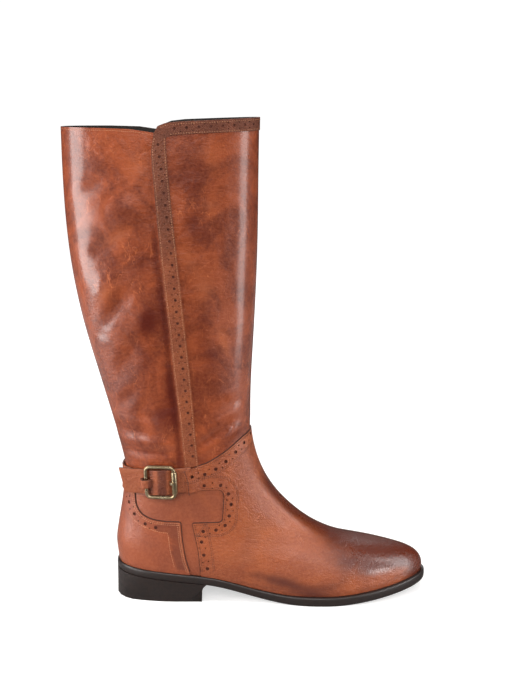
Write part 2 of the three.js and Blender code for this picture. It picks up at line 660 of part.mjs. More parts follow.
// The prong's eye turns on the back bar; its shank runs under the strap, up through it and over the roller.
function prongGeometry() {
  const eye = new THREE.Shape().absarc(-BAR_SPACING / 2, 0, WIRE / 2 + GAP + EYE_THICKNESS, 0, FULL_TURN);
  eye.holes.push(new THREE.Path().absarc(-BAR_SPACING / 2, 0, WIRE / 2 + GAP, 0, FULL_TURN, true));
  const spine = new THREE.SplineCurve(PRONG_SPINE.map(({ x, out }) => new THREE.Vector2(x, -out)));
  const edge = (side) => spread(0, 1, 24).map((share) => {
    const tangent = spine.getTangent(share);
    const across = new THREE.Vector2(-tangent.y, tangent.x).multiplyScalar(side * PRONG_THICKNESS / 2);
    return spine.getPoint(share).add(across);
  });
  const shank = new THREE.Shape([...edge(-1), ...edge(1).reverse()]);
  const [eyeSolid, shankSolid] = [eye, shank].map((shape) => {
    const settings = { depth: PRONG_WIDTH, bevelEnabled: false, curveSegments: 10 };
    return solidOf(new THREE.ExtrudeGeometry(shape, settings).translate(0, 0, -PRONG_WIDTH / 2));
  });
  return geometryOf(eyeSolid.add(shankSolid));
}

// The hole in the strap that the prong comes up through.
function prongHole() {
  const hole = new THREE.BoxGeometry(PRONG_HOLE.length, PRONG_HOLE.depth, PRONG_HOLE.width);
  return solidOf(hole.translate(PRONG_HOLE.x, 0, 0).applyMatrix4(buckle.matrix));
}

// ---------------------------------------------------------------------------------------------------------
// Zip
// ---------------------------------------------------------------------------------------------------------
const zipX = tableCurve(ZIP_ROUTE, "z", "x");
const ZIP_FOOT = ZIP_ROUTE[0].z;
const ZIP_HEAD = ZIP_ROUTE[ZIP_ROUTE.length - 1].z;

// The closed chain, a flat strip up the inner side of the boot.
function zipGeometry() {
  const sections = spread(ZIP_FOOT, ZIP_HEAD, 34).map((z) => {
    const edges = [zipX(z) - ZIP_WIDTH / 2, zipX(z) + ZIP_WIDTH / 2];
    const inside = edges.map((x) => skinAt("inner", x, z, GAP));
    const outside = edges.map((x) => skinAt("inner", x, z, GAP + ZIP_THICKNESS));
    return [...inside, ...outside.reverse()];
  });
  return skin(sections, false);
}

// The slider's own axes: x across the chain, z up, y out from the boot, with 0 on the slider's face.
const SLIDER_FACE = GAP + ZIP_THICKNESS + 1.5 * GAP + SLIDER_THICKNESS; // above the skin
const sliderFoot = skinAt("inner", zipX(SLIDER_HEIGHT), SLIDER_HEIGHT, SLIDER_FACE);
const sliderBeside = skinAt("inner", zipX(SLIDER_HEIGHT) + 1, SLIDER_HEIGHT, SLIDER_FACE);
const slider = new THREE.Group();
slider.position.copy(sliderFoot);
slider.rotation.z = Math.atan2(sliderBeside.y - sliderFoot.y, sliderBeside.x - sliderFoot.x);

// A plate drawn in x and z, its front at y and its back a thickness behind.
function uprightPlate(shape, thickness, y) {
  const plate = new THREE.ExtrudeGeometry(shape, { depth: thickness, bevelEnabled: false, curveSegments: 6 });
  return plate.rotateX(Math.PI / 2).translate(0, y, 0);
}

function zipSliderGeometry() {
  const body = new THREE.Shape();
  body.moveTo(-SLIDER_FOOT_WIDTH / 2, -SLIDER_LENGTH / 2);
  body.lineTo(SLIDER_FOOT_WIDTH / 2, -SLIDER_LENGTH / 2);
  body.lineTo(SLIDER_WIDTH / 2, SLIDER_LENGTH / 4);
  body.quadraticCurveTo(SLIDER_WIDTH / 2, SLIDER_LENGTH / 2, 0, SLIDER_LENGTH / 2);
  body.quadraticCurveTo(-SLIDER_WIDTH / 2, SLIDER_LENGTH / 2, -SLIDER_WIDTH / 2, SLIDER_LENGTH / 4);
  const bail = new THREE.Shape();
  bail.moveTo(-BAIL_ROOT, -BAIL_LENGTH / 2);
  bail.lineTo(BAIL_HEIGHT - BAIL_SHOULDER, -BAIL_LENGTH / 2);
  bail.quadraticCurveTo(BAIL_HEIGHT, 0, BAIL_HEIGHT - BAIL_SHOULDER, BAIL_LENGTH / 2);
  bail.lineTo(-BAIL_ROOT, BAIL_LENGTH / 2);
  const eye = new THREE.Path();
  const eyeHalf = BAIL_LENGTH / 2 - BAIL_WIRE;
  const eyeTop = BAIL_HEIGHT - BAIL_WIRE - BAIL_CROWN;
  eye.setFromPoints([[0, -1], [eyeTop, -1], [eyeTop, 1], [0, 1]]
    .map(([y, side]) => new THREE.Vector2(y, side * eyeHalf)));
  bail.holes.push(eye);
  const arch = new THREE.ExtrudeGeometry(bail, { depth: BAIL_WIDTH, bevelEnabled: false, curveSegments: 6 });
  arch.translate(0, 0, -BAIL_WIDTH / 2).rotateY(Math.PI / 2).rotateX(Math.PI / 2);
  return geometryOf(solidOf(uprightPlate(body, SLIDER_THICKNESS, 0)).add(solidOf(arch)));
}

// The pull hangs from the bail by the bar above its window. Its own origin is on that bar.
function zipPullGeometry() {
  const half = PULL_WIDTH / 2;
  const head = PULL_BAR / 2;
  const tipCentre = new THREE.Vector2(0, head - PULL_LENGTH + half);
  const onTip = (angle) => {
    const reach = new THREE.Vector2(half * Math.cos(angle), half * Math.sin(angle));
    return reach.add(tipCentre);
  };
  const tab = new THREE.Shape([
    new THREE.Vector2(-half, head),
    ...spread(Math.PI, FULL_TURN, 8).map(onTip),
    new THREE.Vector2(half, head),
  ]);
  const side = half - PULL_RAIL;
  tab.holes.push(new THREE.Path([
    new THREE.Vector2(-side, -head),
    new THREE.Vector2(-side, -head - PULL_WINDOW),
    new THREE.Vector2(side, -head - PULL_WINDOW),
    new THREE.Vector2(side, -head),
  ]));
  return uprightPlate(tab, PULL_BAR, PULL_BAR / 2);
}

// ---------------------------------------------------------------------------------------------------------
// Assembly
// ---------------------------------------------------------------------------------------------------------
const FINISHES = {
  leather: { color: 0x9a4a2a, roughness: 0.42, metalness: 0 },
  sole: { color: 0x2b2523, roughness: 0.5, metalness: 0 },
  insole: { color: 0x6d4a35, roughness: 0.8, metalness: 0 },
  brass: { color: 0x8a7447, roughness: 0.35, metalness: 1 },
};

function piece(name, geometry, finish) {
  const mesh = new THREE.Mesh(geometry, new THREE.MeshStandardMaterial(FINISHES[finish]));
  mesh.name = name;
  return mesh;
}

buckle.add(
  piece("buckle_frame", buckleFrameGeometry(), "brass"),
  piece("buckle_roller", rollerGeometry(), "brass"),
  piece("buckle_prong", prongGeometry(), "brass"),
);

const pull = piece("zip_pull", zipPullGeometry(), "brass");
pull.position.set(0, PULL_AXIS_OUT, PULL_AXIS_UP);
slider.add(piece("zip_slider", zipSliderGeometry(), "brass"), pull);

const boot = new THREE.Group();
boot.position.x = -HEEL_CENTRE;
boot.add(
  piece("outsole", outsoleGeometry(), "sole"),
  piece("heel", heelGeometry(), "sole"),
  piece("insole", insoleGeometry(), "insole"),
  piece("upper", upperGeometry(), "leather"),
  piece("shaft", shaftGeometry(), "leather"),
  piece("strap", strapGeometry(), "leather"),
  piece("strap_back", backStrapGeometry(), "leather"),
  buckle,
  piece("zip", zipGeometry(), "brass"),
  slider,
);

const part = new THREE.Group();
part.add(boot);
export default part;
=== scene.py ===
"""Looks for a knee-high riding boot in mottled tan leather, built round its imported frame.

Sizes in this file are millimetres, in the boot's own frame: x runs from the middle of the heel to the toe,
y to the inner side of the leg and z up from the ground. Blender gets them in metres.
"""

from __future__ import annotations

import logging
import math
from contextlib import contextmanager
from dataclasses import dataclass, field
from enum import Enum
from typing import Callable, Iterator, Sequence

import bpy
import numpy as np
from mathutils import Matrix, Vector
from mathutils.bvhtree import BVHTree

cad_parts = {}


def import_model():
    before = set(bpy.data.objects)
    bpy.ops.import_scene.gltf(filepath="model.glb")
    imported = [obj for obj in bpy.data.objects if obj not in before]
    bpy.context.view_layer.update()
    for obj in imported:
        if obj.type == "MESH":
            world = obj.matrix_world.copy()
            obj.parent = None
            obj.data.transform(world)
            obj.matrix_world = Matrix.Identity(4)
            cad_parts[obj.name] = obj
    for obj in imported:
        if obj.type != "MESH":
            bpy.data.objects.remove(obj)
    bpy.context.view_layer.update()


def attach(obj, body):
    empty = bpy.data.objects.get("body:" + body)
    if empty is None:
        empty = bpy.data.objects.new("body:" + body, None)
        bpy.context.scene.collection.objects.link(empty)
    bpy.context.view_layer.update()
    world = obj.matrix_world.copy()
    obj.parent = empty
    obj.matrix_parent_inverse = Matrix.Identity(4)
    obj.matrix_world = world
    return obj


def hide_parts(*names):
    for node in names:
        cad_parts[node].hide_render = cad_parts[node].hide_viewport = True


log = logging.getLogger("boot")

MM = 0.001
Color = tuple[float, float, float]
Row = tuple[float, float]
Piece = bpy.types.Object


# ---- Curves and numbers ----
def smooth(low: float, high: float, value: float | np.ndarray) -> float | np.ndarray:
    """Rises softly from 0 at low to 1 at high.

    Args:
        low: Where the rise starts.
        high: Where it ends.
        value: A number or an array of them.

    Returns:
        The height of the rise at value.
    """
    share = np.clip((value - low) / (high - low), 0.0, 1.0)
    return share * share * (3.0 - 2.0 * share)


def table(rows: Sequence[Row], at: float) -> float:
    """Reads a table with a smooth curve that never swings past its rows.

    Args:
        rows: Pairs of a place and its value, in rising order of place.
        at: The place to read.

    Returns:
        The value there.
    """
    xs = [row[0] for row in rows]
    ys = [row[1] for row in rows]
    at = min(max(at, xs[0]), xs[-1])
    rises = [(ys[i + 1] - ys[i]) / (xs[i + 1] - xs[i]) for i in range(len(xs) - 1)]

    def slope(i: int) -> float:
        """Gives the curve's slope at a row."""
        before, after = rises[max(i - 1, 0)], rises[min(i, len(rises) - 1)]
        return 0.0 if before * after <= 0 else 2 * before * after / (before + after)

    i = max(k for k in range(len(xs) - 1) if xs[k] <= at)
    width = xs[i + 1] - xs[i]
    t = (at - xs[i]) / width
    u = 1 - t
    ends = u * u * (1 + 2 * t) * ys[i] + t * t * (3 - 2 * t) * ys[i + 1]
    return ends + t * u * width * (u * slope(i) - t * slope(i + 1))


def spline(points: Sequence[Row], steps: int = 8) -> list[Row]:
    """Runs a smooth curve through points of a side view.

    Args:
        points: Pairs of x and z.
        steps: Pieces between one point and the next.

    Returns:
        The curve's points, with both ends.
    """
    ends = [points[0], *points, points[-1]]
    curve: list[Row] = []
    for a, b, c, d in zip(ends, ends[1:], ends[2:], ends[3:]):
        for k in range(steps):
            t = k / steps
            curve.append(tuple(
                0.5 * (2 * b[n] + (c[n] - a[n]) * t + (2 * a[n] - 5 * b[n] + 4 * c[n] - d[n]) * t * t
                       + (3 * b[n] - a[n] - 3 * c[n] + d[n]) * t ** 3)
                for n in (0, 1)
            ))
    return [*curve, tuple(points[-1])]


def rounded(corners: Sequence[tuple[float, float, float]], steps: int = 6) -> list[Row]:
    """Joins corners by straight lines and rounds each corner off.

    Args:
        corners: x, z and the corner's radius. The first and last stay as they are.
        steps: Pieces in each round corner.

    Returns:
        The line's points.
    """
    line: list[Row] = [corners[0][:2]]
    for before, corner, after in zip(corners, corners[1:], corners[2:]):
        here, radius = Vector(corner[:2]), corner[2]
        if radius <= 0:
            line.append(corner[:2])
            continue
        back = (Vector(before[:2]) - here).normalized()
        ahead = (Vector(after[:2]) - here).normalized()
        reach = radius / math.tan(back.angle(ahead) / 2)
        start, end = here + back * reach, here + ahead * reach
        for k in range(steps + 1):
            t = k / steps
            point = start * (1 - t) ** 2 + here * (2 * t * (1 - t)) + end * t * t
            line.append((point.x, point.y))
    return [*line, corners[-1][:2]]


def divided(ends: Sequence[float], counts: Sequence[int]) -> list[float]:
    """Divides each stretch of a line evenly.

    Args:
        ends: Where the stretches start and end.
        counts: How many parts each one gets.

    Returns:
        Every place, in order.
    """
    places = [ends[0]]
    for start, end, count in zip(ends, ends[1:], counts):
        places += list(np.linspace(start, end, count + 1)[1:])
    return places


def contains(outline: Sequence[Row], x: np.ndarray, z: np.ndarray) -> np.ndarray:
    """Tells which points lie in a closed outline.

    Args:
        outline: The outline's points.
        x: The points' x.
        z: Their z.

    Returns:
        True for each one that lies inside.
    """
    inside = np.zeros(len(x), bool)
    for (x1, z1), (x2, z2) in zip(outline, [*outline[1:], outline[0]]):
        if z1 != z2:
            crossed = (z1 > z) != (z2 > z)
            inside ^= crossed & (x < x1 + (z - z1) * (x2 - x1) / (z2 - z1))
    return inside


# ---- Bench: Blender's operators on one piece at a time ----
def focus(*pieces: Piece) -> Piece:
    """Selects only these pieces and makes the first one active.

    Args:
        pieces: What to select.

    Returns:
        The first one.
    """
    bpy.ops.object.select_all(action="DESELECT")
    for piece in pieces:
        piece.hide_set(False)
        piece.select_set(True)
    bpy.context.view_layer.objects.active = pieces[0]
    return pieces[0]


@contextmanager
def editing(piece: Piece, mode: str = "FACE") -> Iterator[None]:
    """Opens a piece in edit mode for the statements inside.

    Args:
        piece: The piece to edit.
        mode: What is selected in it, VERT, EDGE or FACE.

    Yields:
        Nothing.
    """
    focus(piece)
    bpy.ops.object.mode_set(mode="EDIT")
    bpy.ops.mesh.select_mode(type=mode)
    try:
        yield
    finally:
        bpy.ops.object.mode_set(mode="OBJECT")


def select_faces(piece: Piece, chosen: np.ndarray) -> None:
    """Selects some faces of a piece and nothing else.

    Args:
        piece: The piece.
        chosen: True for each face that is wanted.
    """
    with editing(piece):
        bpy.ops.mesh.select_all(action="DESELECT")
    piece.data.polygons.foreach_set("select", chosen)


def pick_faces(piece: Piece, test: Callable[[bpy.types.MeshPolygon], bool]) -> None:
    """Selects the faces of a piece that pass a test, and nothing else.

    Args:
        piece: The piece.
        test: Takes a face and says whether it is wanted.
    """
    select_faces(piece, np.array([test(face) for face in piece.data.polygons]))


def pick_edges(piece: Piece, test: Callable[[Vector, Vector], bool]) -> None:
    """Selects the edges of a piece that pass a test on their two ends, and nothing else.

    Args:
        piece: The piece.
        test: Takes an edge's ends and says whether it is wanted.
    """
    with editing(piece, "EDGE"):
        bpy.ops.mesh.select_all(action="DESELECT")
    mesh = piece.data
    for edge in mesh.edges:
        edge.select = test(*(mesh.vertices[v].co for v in edge.vertices))


def delete_faces(piece: Piece, doomed: np.ndarray) -> None:
    """Deletes some faces of a piece.

    Args:
        piece: The piece.
        doomed: True for each face that goes.
    """
    select_faces(piece, doomed)
    with editing(piece):
        bpy.ops.mesh.delete(type="FACE")


def inside_points(piece: Piece) -> np.ndarray:
    """Finds a point well inside each face: the middle of its largest triangle.

    Args:
        piece: The piece.

    Returns:
        Rows of x, y and z, in metres.
    """
    mesh = piece.data
    mesh.calc_loop_triangles()
    count = len(mesh.loop_triangles)
    corners, owners, areas = np.zeros(count * 3, int), np.zeros(count, int), np.zeros(count)
    mesh.loop_triangles.foreach_get("vertices", corners)
    mesh.loop_triangles.foreach_get("polygon_index", owners)
    mesh.loop_triangles.foreach_get("area", areas)
    middles = point_array(piece)[corners.reshape(-1, 3)].mean(axis=1)
    order = np.argsort(areas, kind="stable")
    found = np.zeros((len(mesh.polygons), 3))
    found[owners[order]] = middles[order]
    return found


def modify(piece: Piece, kind: str, **settings: object) -> Piece:
    """Adds a modifier and applies it.

    Args:
        piece: The piece.
        kind: The modifier's type.
        settings: Its properties.

    Returns:
        The same piece.
    """
    modifier = piece.modifiers.new(kind.lower(), kind)
    for name, value in settings.items():
        setattr(modifier, name, value)
    focus(piece)
    bpy.ops.object.modifier_apply(modifier=modifier.name)
    return piece


def subdivide(piece: Piece, levels: int) -> Piece:
    """Smooths a piece with a subdivision surface."""
    return modify(piece, "SUBSURF", levels=levels, render_levels=levels)


def soften(piece: Piece, width: float, segments: int, degrees: float) -> Piece:
    """Rounds the sharp edges of a piece off.

    Args:
        piece: The piece.
        width: How far from the edge the rounding starts.
        segments: Faces in the rounding.
        degrees: The angle from which an edge is sharp.

    Returns:
        The same piece.
    """
    return modify(
        piece, "BEVEL", width=width * MM, segments=segments,
        limit_method="ANGLE", angle_limit=math.radians(degrees),
    )


def dissolve_flat(piece: Piece, degrees: float = 1.0) -> None:
    """Merges the triangles of each flat face of a piece.

    Args:
        piece: The piece.
        degrees: How far a flat face may turn.
    """
    with editing(piece):
        bpy.ops.mesh.select_all(action="SELECT")
        bpy.ops.mesh.dissolve_limited(angle_limit=math.radians(degrees))


def pick_rims() -> None:
    """Selects the open edges of the piece that is being edited."""
    bpy.ops.mesh.select_all(action="DESELECT")
    bpy.ops.mesh.select_non_manifold(
        extend=False, use_wire=False, use_multi_face=False, use_non_contiguous=False, use_verts=False
    )


def settle(piece: Piece) -> Piece:
    """Puts a piece's place into its mesh, so that its object sits at the origin.

    Args:
        piece: The piece.

    Returns:
        The same piece.
    """
    focus(piece)
    bpy.ops.object.transform_apply(location=True, rotation=True, scale=True)
    return piece


def join(name: str, pieces: Sequence[Piece]) -> Piece:
    """Joins pieces into one.

    Args:
        name: The new piece's name.
        pieces: What to join.

    Returns:
        The joined piece.
    """
    focus(*pieces)
    if len(pieces) > 1:
        bpy.ops.object.join()
    piece = bpy.context.view_layer.objects.active
    piece.name = piece.data.name = name
    return piece


def duplicate(piece: Piece, name: str) -> Piece:
    """Copies a piece with its own mesh.

    Args:
        piece: The piece to copy.
        name: The copy's name.

    Returns:
        The copy.
    """
    copy = bpy.data.objects.new(name, piece.data.copy())
    copy.data.name = name
    bpy.context.scene.collection.objects.link(copy)
    return copy


def smooth_shade(piece: Piece, degrees: float = 35.0) -> Piece:
    """Shades a piece smooth, with its sharp edges left crisp.

    Args:
        piece: The piece.
        degrees: The angle from which an edge is sharp.

    Returns:
        The same piece.
    """
    focus(piece)
    bpy.ops.object.shade_smooth_by_angle(angle=math.radians(degrees))
    return piece


def read_rows(items: bpy.types.bpy_prop_collection, name: str) -> np.ndarray:
    """Reads a vector of each of a mesh's items.

    Args:
        items: The items.
        name: The vector's name.

    Returns:
        Its rows of x, y and z.
    """
    flat = np.zeros(len(items) * 3)
    items.foreach_get(name, flat)
    return flat.reshape(-1, 3)


def point_array(piece: Piece) -> np.ndarray:
    """Reads a mesh's points, in metres."""
    return read_rows(piece.data.vertices, "co")


def normal_array(piece: Piece) -> np.ndarray:
    """Reads a mesh's point normals."""
    return read_rows(piece.data.vertex_normals, "vector")


def push(piece: Piece, distances: np.ndarray) -> None:
    """Moves each point of a mesh along its normal.

    Args:
        piece: The piece.
        distances: How far each point moves, in millimetres.
    """
    moved = point_array(piece) + normal_array(piece) * distances[:, None] * MM
    piece.data.vertices.foreach_set("co", moved.ravel())
    piece.data.update()


def dress(piece: Piece, *materials: bpy.types.Material) -> Piece:
    """Gives a piece its materials.

    Args:
        piece: The piece.
        materials: The materials, in the order of its slots.

    Returns:
        The same piece.
    """
    piece.data.materials.clear()
    for material in materials:
        piece.data.materials.append(material)
    return piece


def stain_and_shading(piece: Piece, amounts: np.ndarray) -> None:
    """Writes how dark or pale each point of a leather is, from its stains and from painted shade and
    highlight, for its material to read.

    Args:
        piece: The piece.
        amounts: 1 where it is darkest and -1 where it is palest.
    """
    attribute = piece.data.attributes.new("stain_and_shading", "FLOAT", "POINT")
    attribute.data.foreach_set("value", np.clip(amounts, -1.0, 1.0))


def mount(piece: Piece, slot: str, *nodes: str, body: str = "boot") -> Piece:
    """Makes a finished piece part of the boot.

    Args:
        piece: The piece.
        slot: The record's slot for the piece; not used.
        nodes: The frame's nodes that it stands for.
        body: The body that it rides on.

    Returns:
        The same piece.
    """
    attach(piece, body)
    if nodes:
        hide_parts(*nodes)
    triangles = sum(len(face.vertices) - 2 for face in piece.data.polygons)
    log.info("%s: %d triangles", piece.name, triangles)
    return piece


def node_copy(node: str, name: str) -> Piece:
    """Copies one of the frame's nodes, with its doubled points merged.

    Args:
        node: The node's name.
        name: The copy's name.

    Returns:
        The copy.
    """
    copy = duplicate(bpy.data.objects[node], name)
    copy.data.materials.clear()
    with editing(copy, "VERT"):
        bpy.ops.mesh.select_all(action="SELECT")
        bpy.ops.mesh.remove_doubles(threshold=0.02 * MM)
        bpy.ops.mesh.select_all(action="DESELECT")
    return copy


def make_quads(piece: Piece) -> None:
    """Turns a mesh's triangles into the quads that they were cut from.

    Args:
        piece: The piece.
    """
    with editing(piece):
        bpy.ops.mesh.select_all(action="SELECT")
        bpy.ops.mesh.tris_convert_to_quads(
            face_threshold=math.pi, shape_threshold=math.pi, topology_influence=1.5
        )


# ---- Skin: the boot's surface, and places on it ----
class Side(Enum):
    """A side of the boot, by the sign of y."""

    OUTER = -1
    INNER = 1


@dataclass
class Spot:
    """A place on the skin, in metres, with the direction that faces out of it."""

    point: Vector
    normal: Vector

    def raised(self, height: float) -> Vector:
        """Gives the point at a height above the skin, in millimetres."""
        return self.point + self.normal * height * MM


@dataclass
class Stop:
    """A spot on a route, with the route's direction."""

    spot: Spot
    along: Vector

    @property
    def across(self) -> Vector:
        """The direction across the route, to its left seen from outside."""
        return self.spot.normal.cross(self.along).normalized()

    def matrix(self, height: float = 0.0) -> Matrix:
        """Gives axes with x along the route and z out of the skin.

        Args:
            height: How far above the skin they stand, in millimetres.

        Returns:
            The axes as a matrix.
        """
        x = (self.along - self.spot.normal * self.along.dot(self.spot.normal)).normalized()
        y = self.spot.normal.cross(x)
        turn = Matrix((x, y, self.spot.normal)).transposed()
        return Matrix.Translation(self.spot.raised(height)) @ turn.to_4x4()


@dataclass
class Skin:
    """The boot's outer surface as it is now, for laying pieces on it."""

    piece: Piece
    reach: float = 300.0
    ankle_x: float = 29.0
    ankle_length: float = 57.0
    ankle_width: float = 34.0
    tree: BVHTree = field(init=False)

    def __post_init__(self) -> None:
        """Reads the surface."""
        mesh = self.piece.data
        points = [vertex.co.copy() for vertex in mesh.vertices]
        self.tree = BVHTree.FromPolygons(points, [face.vertices[:] for face in mesh.polygons])

    def beside(self, side: Side, x: float, z: float) -> Spot | None:
        """Finds the skin from a side.

        Args:
            side: Which side to look from.
            x: Length along the boot.
            z: Height.

        Returns:
            The spot, or None where the skin doesn't reach.
        """
        start = Vector((x, side.value * self.reach, z)) * MM
        point, normal, _, _ = self.tree.ray_cast(start, Vector((0, -side.value, 0)))
        return None if point is None else Spot(point, normal)

    def around(self, turn: float, z: float) -> Spot | None:
        """Finds the skin round the leg.

        Args:
            turn: The direction from the leg's middle, 0 behind and rising over the outer side to pi in front.
            z: Height.

        Returns:
            The spot, or None where the skin doesn't reach.
        """
        out = Vector((-self.ankle_length * math.cos(turn), -self.ankle_width * math.sin(turn), 0))
        middle = Vector((self.ankle_x, 0, z)) * MM
        point, normal, _, _ = self.tree.ray_cast(middle + out * MM * 5, -out.normalized())
        return None if point is None else Spot(point, normal)

    def nearest(self, point: Vector) -> Spot:
        """Finds the spot of the skin nearest to a point, in metres."""
        point, normal, _, _ = self.tree.find_nearest(point)
        return Spot(point, normal)

    def line(self, side: Side, points: Sequence[Row]) -> list[Spot]:
        """Lays a line of a side view on the skin.

        Args:
            side: Which side to lay it on.
            points: Pairs of x and z.

        Returns:
            Its spots, without those that the skin doesn't reach.
        """
        found = [self.beside(side, x, z) for x, z in points]
        return [spot for spot in found if spot is not None]

    def route(self, spots: Sequence[Spot], pitch: float, start: float = 0.0) -> list[Stop]:
        """Spaces stops evenly along a line of spots.

        Args:
            spots: The line.
            pitch: Distance from stop to stop.
            start: Distance of the first stop from the line's start.

        Returns:
            The stops, each on the skin.
        """
        points = [spot.point for spot in spots]
        lengths = [0.0]
        for a, b in zip(points, points[1:]):
            lengths.append(lengths[-1] + (b - a).length / MM)
        count = int((lengths[-1] - start) / pitch) + 1
        stops = []
        for k in range(count):
            at = start + k * pitch
            i = max(n for n in range(len(lengths) - 1) if lengths[n] <= at)
            share = (at - lengths[i]) / max(lengths[i + 1] - lengths[i], 1e-6)
            point = points[i].lerp(points[i + 1], min(share, 1.0))
            stops.append(Stop(self.nearest(point), (points[i + 1] - points[i]).normalized()))
        return stops

    def shifted(self, spots: Sequence[Spot], distance: float, pitch: float = 1.5) -> list[Spot]:
        """Moves a line sideways over the skin.

        Args:
            spots: The line.
            distance: How far it moves to its left, seen from outside.
            pitch: Distance between the new line's spots.

        Returns:
            The new line.
        """
        stops = self.route(spots, pitch)
        return [self.nearest(stop.spot.point + stop.across * distance * MM) for stop in stops]


# ---- Relief: dents and creases ----
@dataclass(frozen=True)
class Oval:
    """A soft oval place on one side of the boot, tilted from level, with its amount.

    As a dent its amount is its depth, and as a stain or as painted shade how dark it is. Below zero it is a
    swelling, or pale.
    """

    side: Side
    x: float
    z: float
    length: float
    width: float
    tilt: float
    amount: float

    def weight(self, points: np.ndarray) -> np.ndarray:
        """Works out its amount at points.

        Args:
            points: Rows of x, y and z in millimetres.

        Returns:
            The amount at each one.
        """
        turn = math.radians(self.tilt)
        dx, dz = points[:, 0] - self.x, points[:, 2] - self.z
        along = (dx * math.cos(turn) + dz * math.sin(turn)) / self.length
        across = (-dx * math.sin(turn) + dz * math.cos(turn)) / self.width
        there = smooth(0.0, 12.0, points[:, 1] * self.side.value)
        return self.amount * np.exp(-(along ** 2) - across ** 2) * there


@dataclass(frozen=True)
class Crease:
    """A soft trough with a ridge on each side, straight in the side view."""

    side: Side
    start: Row
    end: Row
    width: float
    depth: float

    def lift(self, points: np.ndarray) -> np.ndarray:
        """Works out how far it moves points.

        Args:
            points: Rows of x, y and z in millimetres.

        Returns:
            The move of each one out of the skin, in millimetres.
        """
        run = np.array(self.end) - np.array(self.start)
        length = float(np.linalg.norm(run))
        run = run / length
        offset = points[:, [0, 2]] - np.array(self.start)
        along = offset @ run
        across = (offset[:, 1] * run[0] - offset[:, 0] * run[1]) / self.width
        fade = smooth(-0.25 * length, 0.3 * length, along)
        fade = fade * (1 - smooth(0.7 * length, 1.25 * length, along))
        there = smooth(0.0, 12.0, points[:, 1] * self.side.value)
        profile = -np.exp(-(across ** 2)) + 0.55 * np.exp(-((np.abs(across) - 1.7) ** 2))
        return self.depth * profile * fade * there


def ovals(side: Side, *rows: tuple[float, ...]) -> tuple[Oval, ...]:
    """Sets ovals on a side, from rows of x, z, length, width, tilt and amount."""
    return tuple(Oval(side, *row) for row in rows)


def creases(side: Side, *rows: tuple[Row, Row, float, float]) -> tuple[Crease, ...]:
    """Sets creases on a side, from rows of start, end, width and depth."""
    return tuple(Crease(side, *row) for row in rows)


DENTS = (
    *ovals(
        Side.OUTER,
        (-22, 346, 18, 14, 25, -2.6), (-39, 283, 14, 9, 50, -2.2), (-4, 262, 24, 13, 80, -1.3),
        (-34, 319, 20, 6, 33, 1.8), (-29, 264, 23, 6, 52, 2.0), (-43, 370, 15, 6, 30, 1.7),
        (-20, 188, 12, 6, 50, 1.2), (-20, 220, 9, 20, -25, 1.6), (-5, 172, 12, 14, -20, 1.2),
        (52, 345, 16, 22, 20, 0.7), (60, 250, 14, 26, -15, 0.7),
    ),
    *ovals(
        Side.INNER,
        (-32, 310, 16, 26, -10, 1.5), (40, 250, 22, 30, 15, 0.9), (55, 350, 20, 26, 0, 0.7),
    ),
)

# dark and pale tone of the shaft leather, with painted shade along two creases above the strap
SHAFT_STAINS_AND_SHADE = (
    *ovals(
        Side.OUTER,
        (-1, 256, 15, 10, 80, 1.0), (-5, 224, 14, 9, 90, 0.55), (9, 172, 13, 11, 90, 0.6),
        (46, 246, 24, 7, 80, 0.5), (36, 370, 14, 11, 60, 0.6), (36, 341, 12, 8, 70, 0.6),
        (45, 328, 14, 9, 60, 0.5), (-5, 304, 16, 9, 80, 0.45), (53, 224, 9, 6, 80, 0.55),
        (14, 195, 24, 7, 95, 0.45), (62, 238, 15, 5, 110, -0.5), (-37, 278, 11, 6, 50, -0.5),
        (-9, 384, 14, 12, 30, -0.35), (-24, 327, 14, 7, 35, -0.4), (54, 392, 16, 9, 100, -0.35),
        (34, 352, 9, 3, 5, -0.45), (53, 347, 16, 8, 90, -0.35), (33, 312, 16, 9, 100, -0.4),
        # the last two ovals on the next line are painted shade in the creases above the strap
        (47, 283, 18, 10, 90, -0.4), (-6, 139, 22, 2.6, 2, 0.5), (52, 153, 18, 3, 34, 0.45),
    ),
)

FOOT_STAINS = (
    *ovals(
        Side.OUTER,
        (84, 27, 14, 5, -8, 0.3), (103, 23, 15, 6, -14, 0.6), (122, 18.5, 13, 6, -14, 0.68),
        (141, 14, 14, 6, 2, 0.62), (162, 20, 15, 6, 22, 0.35), (185, 27, 10, 5, 10, 0.2),
        (92, 66, 26, 14, -45, -0.25), (78, 42, 22, 10, -10, -0.2),
    ),
    *ovals(
        Side.INNER,
        (120, 18, 30, 6, -8, 0.5),
    ),
)

CREASES = (
    *creases(
        Side.OUTER,
        ((-30, 158), (14, 155), 5.0, 0.65), ((-26, 139), (20, 140), 4.6, 0.8),
        ((40, 145), (70, 166), 4.2, 1.0), ((-48, 243), (-16, 239), 3.4, 0.35),
        ((46, 176), (78, 186), 5.0, 0.4), ((96, 92), (118, 66), 4.0, 0.4),
        ((108, 78), (132, 58), 3.2, 0.4), ((84, 108), (96, 92), 3.0, 0.35),
    ),
    *creases(
        Side.INNER,
        ((-28, 152), (4, 150), 5.0, 0.6), ((28, 146), (70, 160), 5.0, 0.55),
        ((96, 92), (118, 66), 5.0, 0.35),
    ),
)


# ---- The boot's lines in side view ----
# Where the vamp's upper edge lies over the shaft, from the strap to the shin.
VAMP_SEAM = (
    (26.2, 125.3), (33, 126.0), (41.3, 128.1), (50, 131.4), (63, 139.2), (75.9, 148.6), (85.3, 153.6),
)
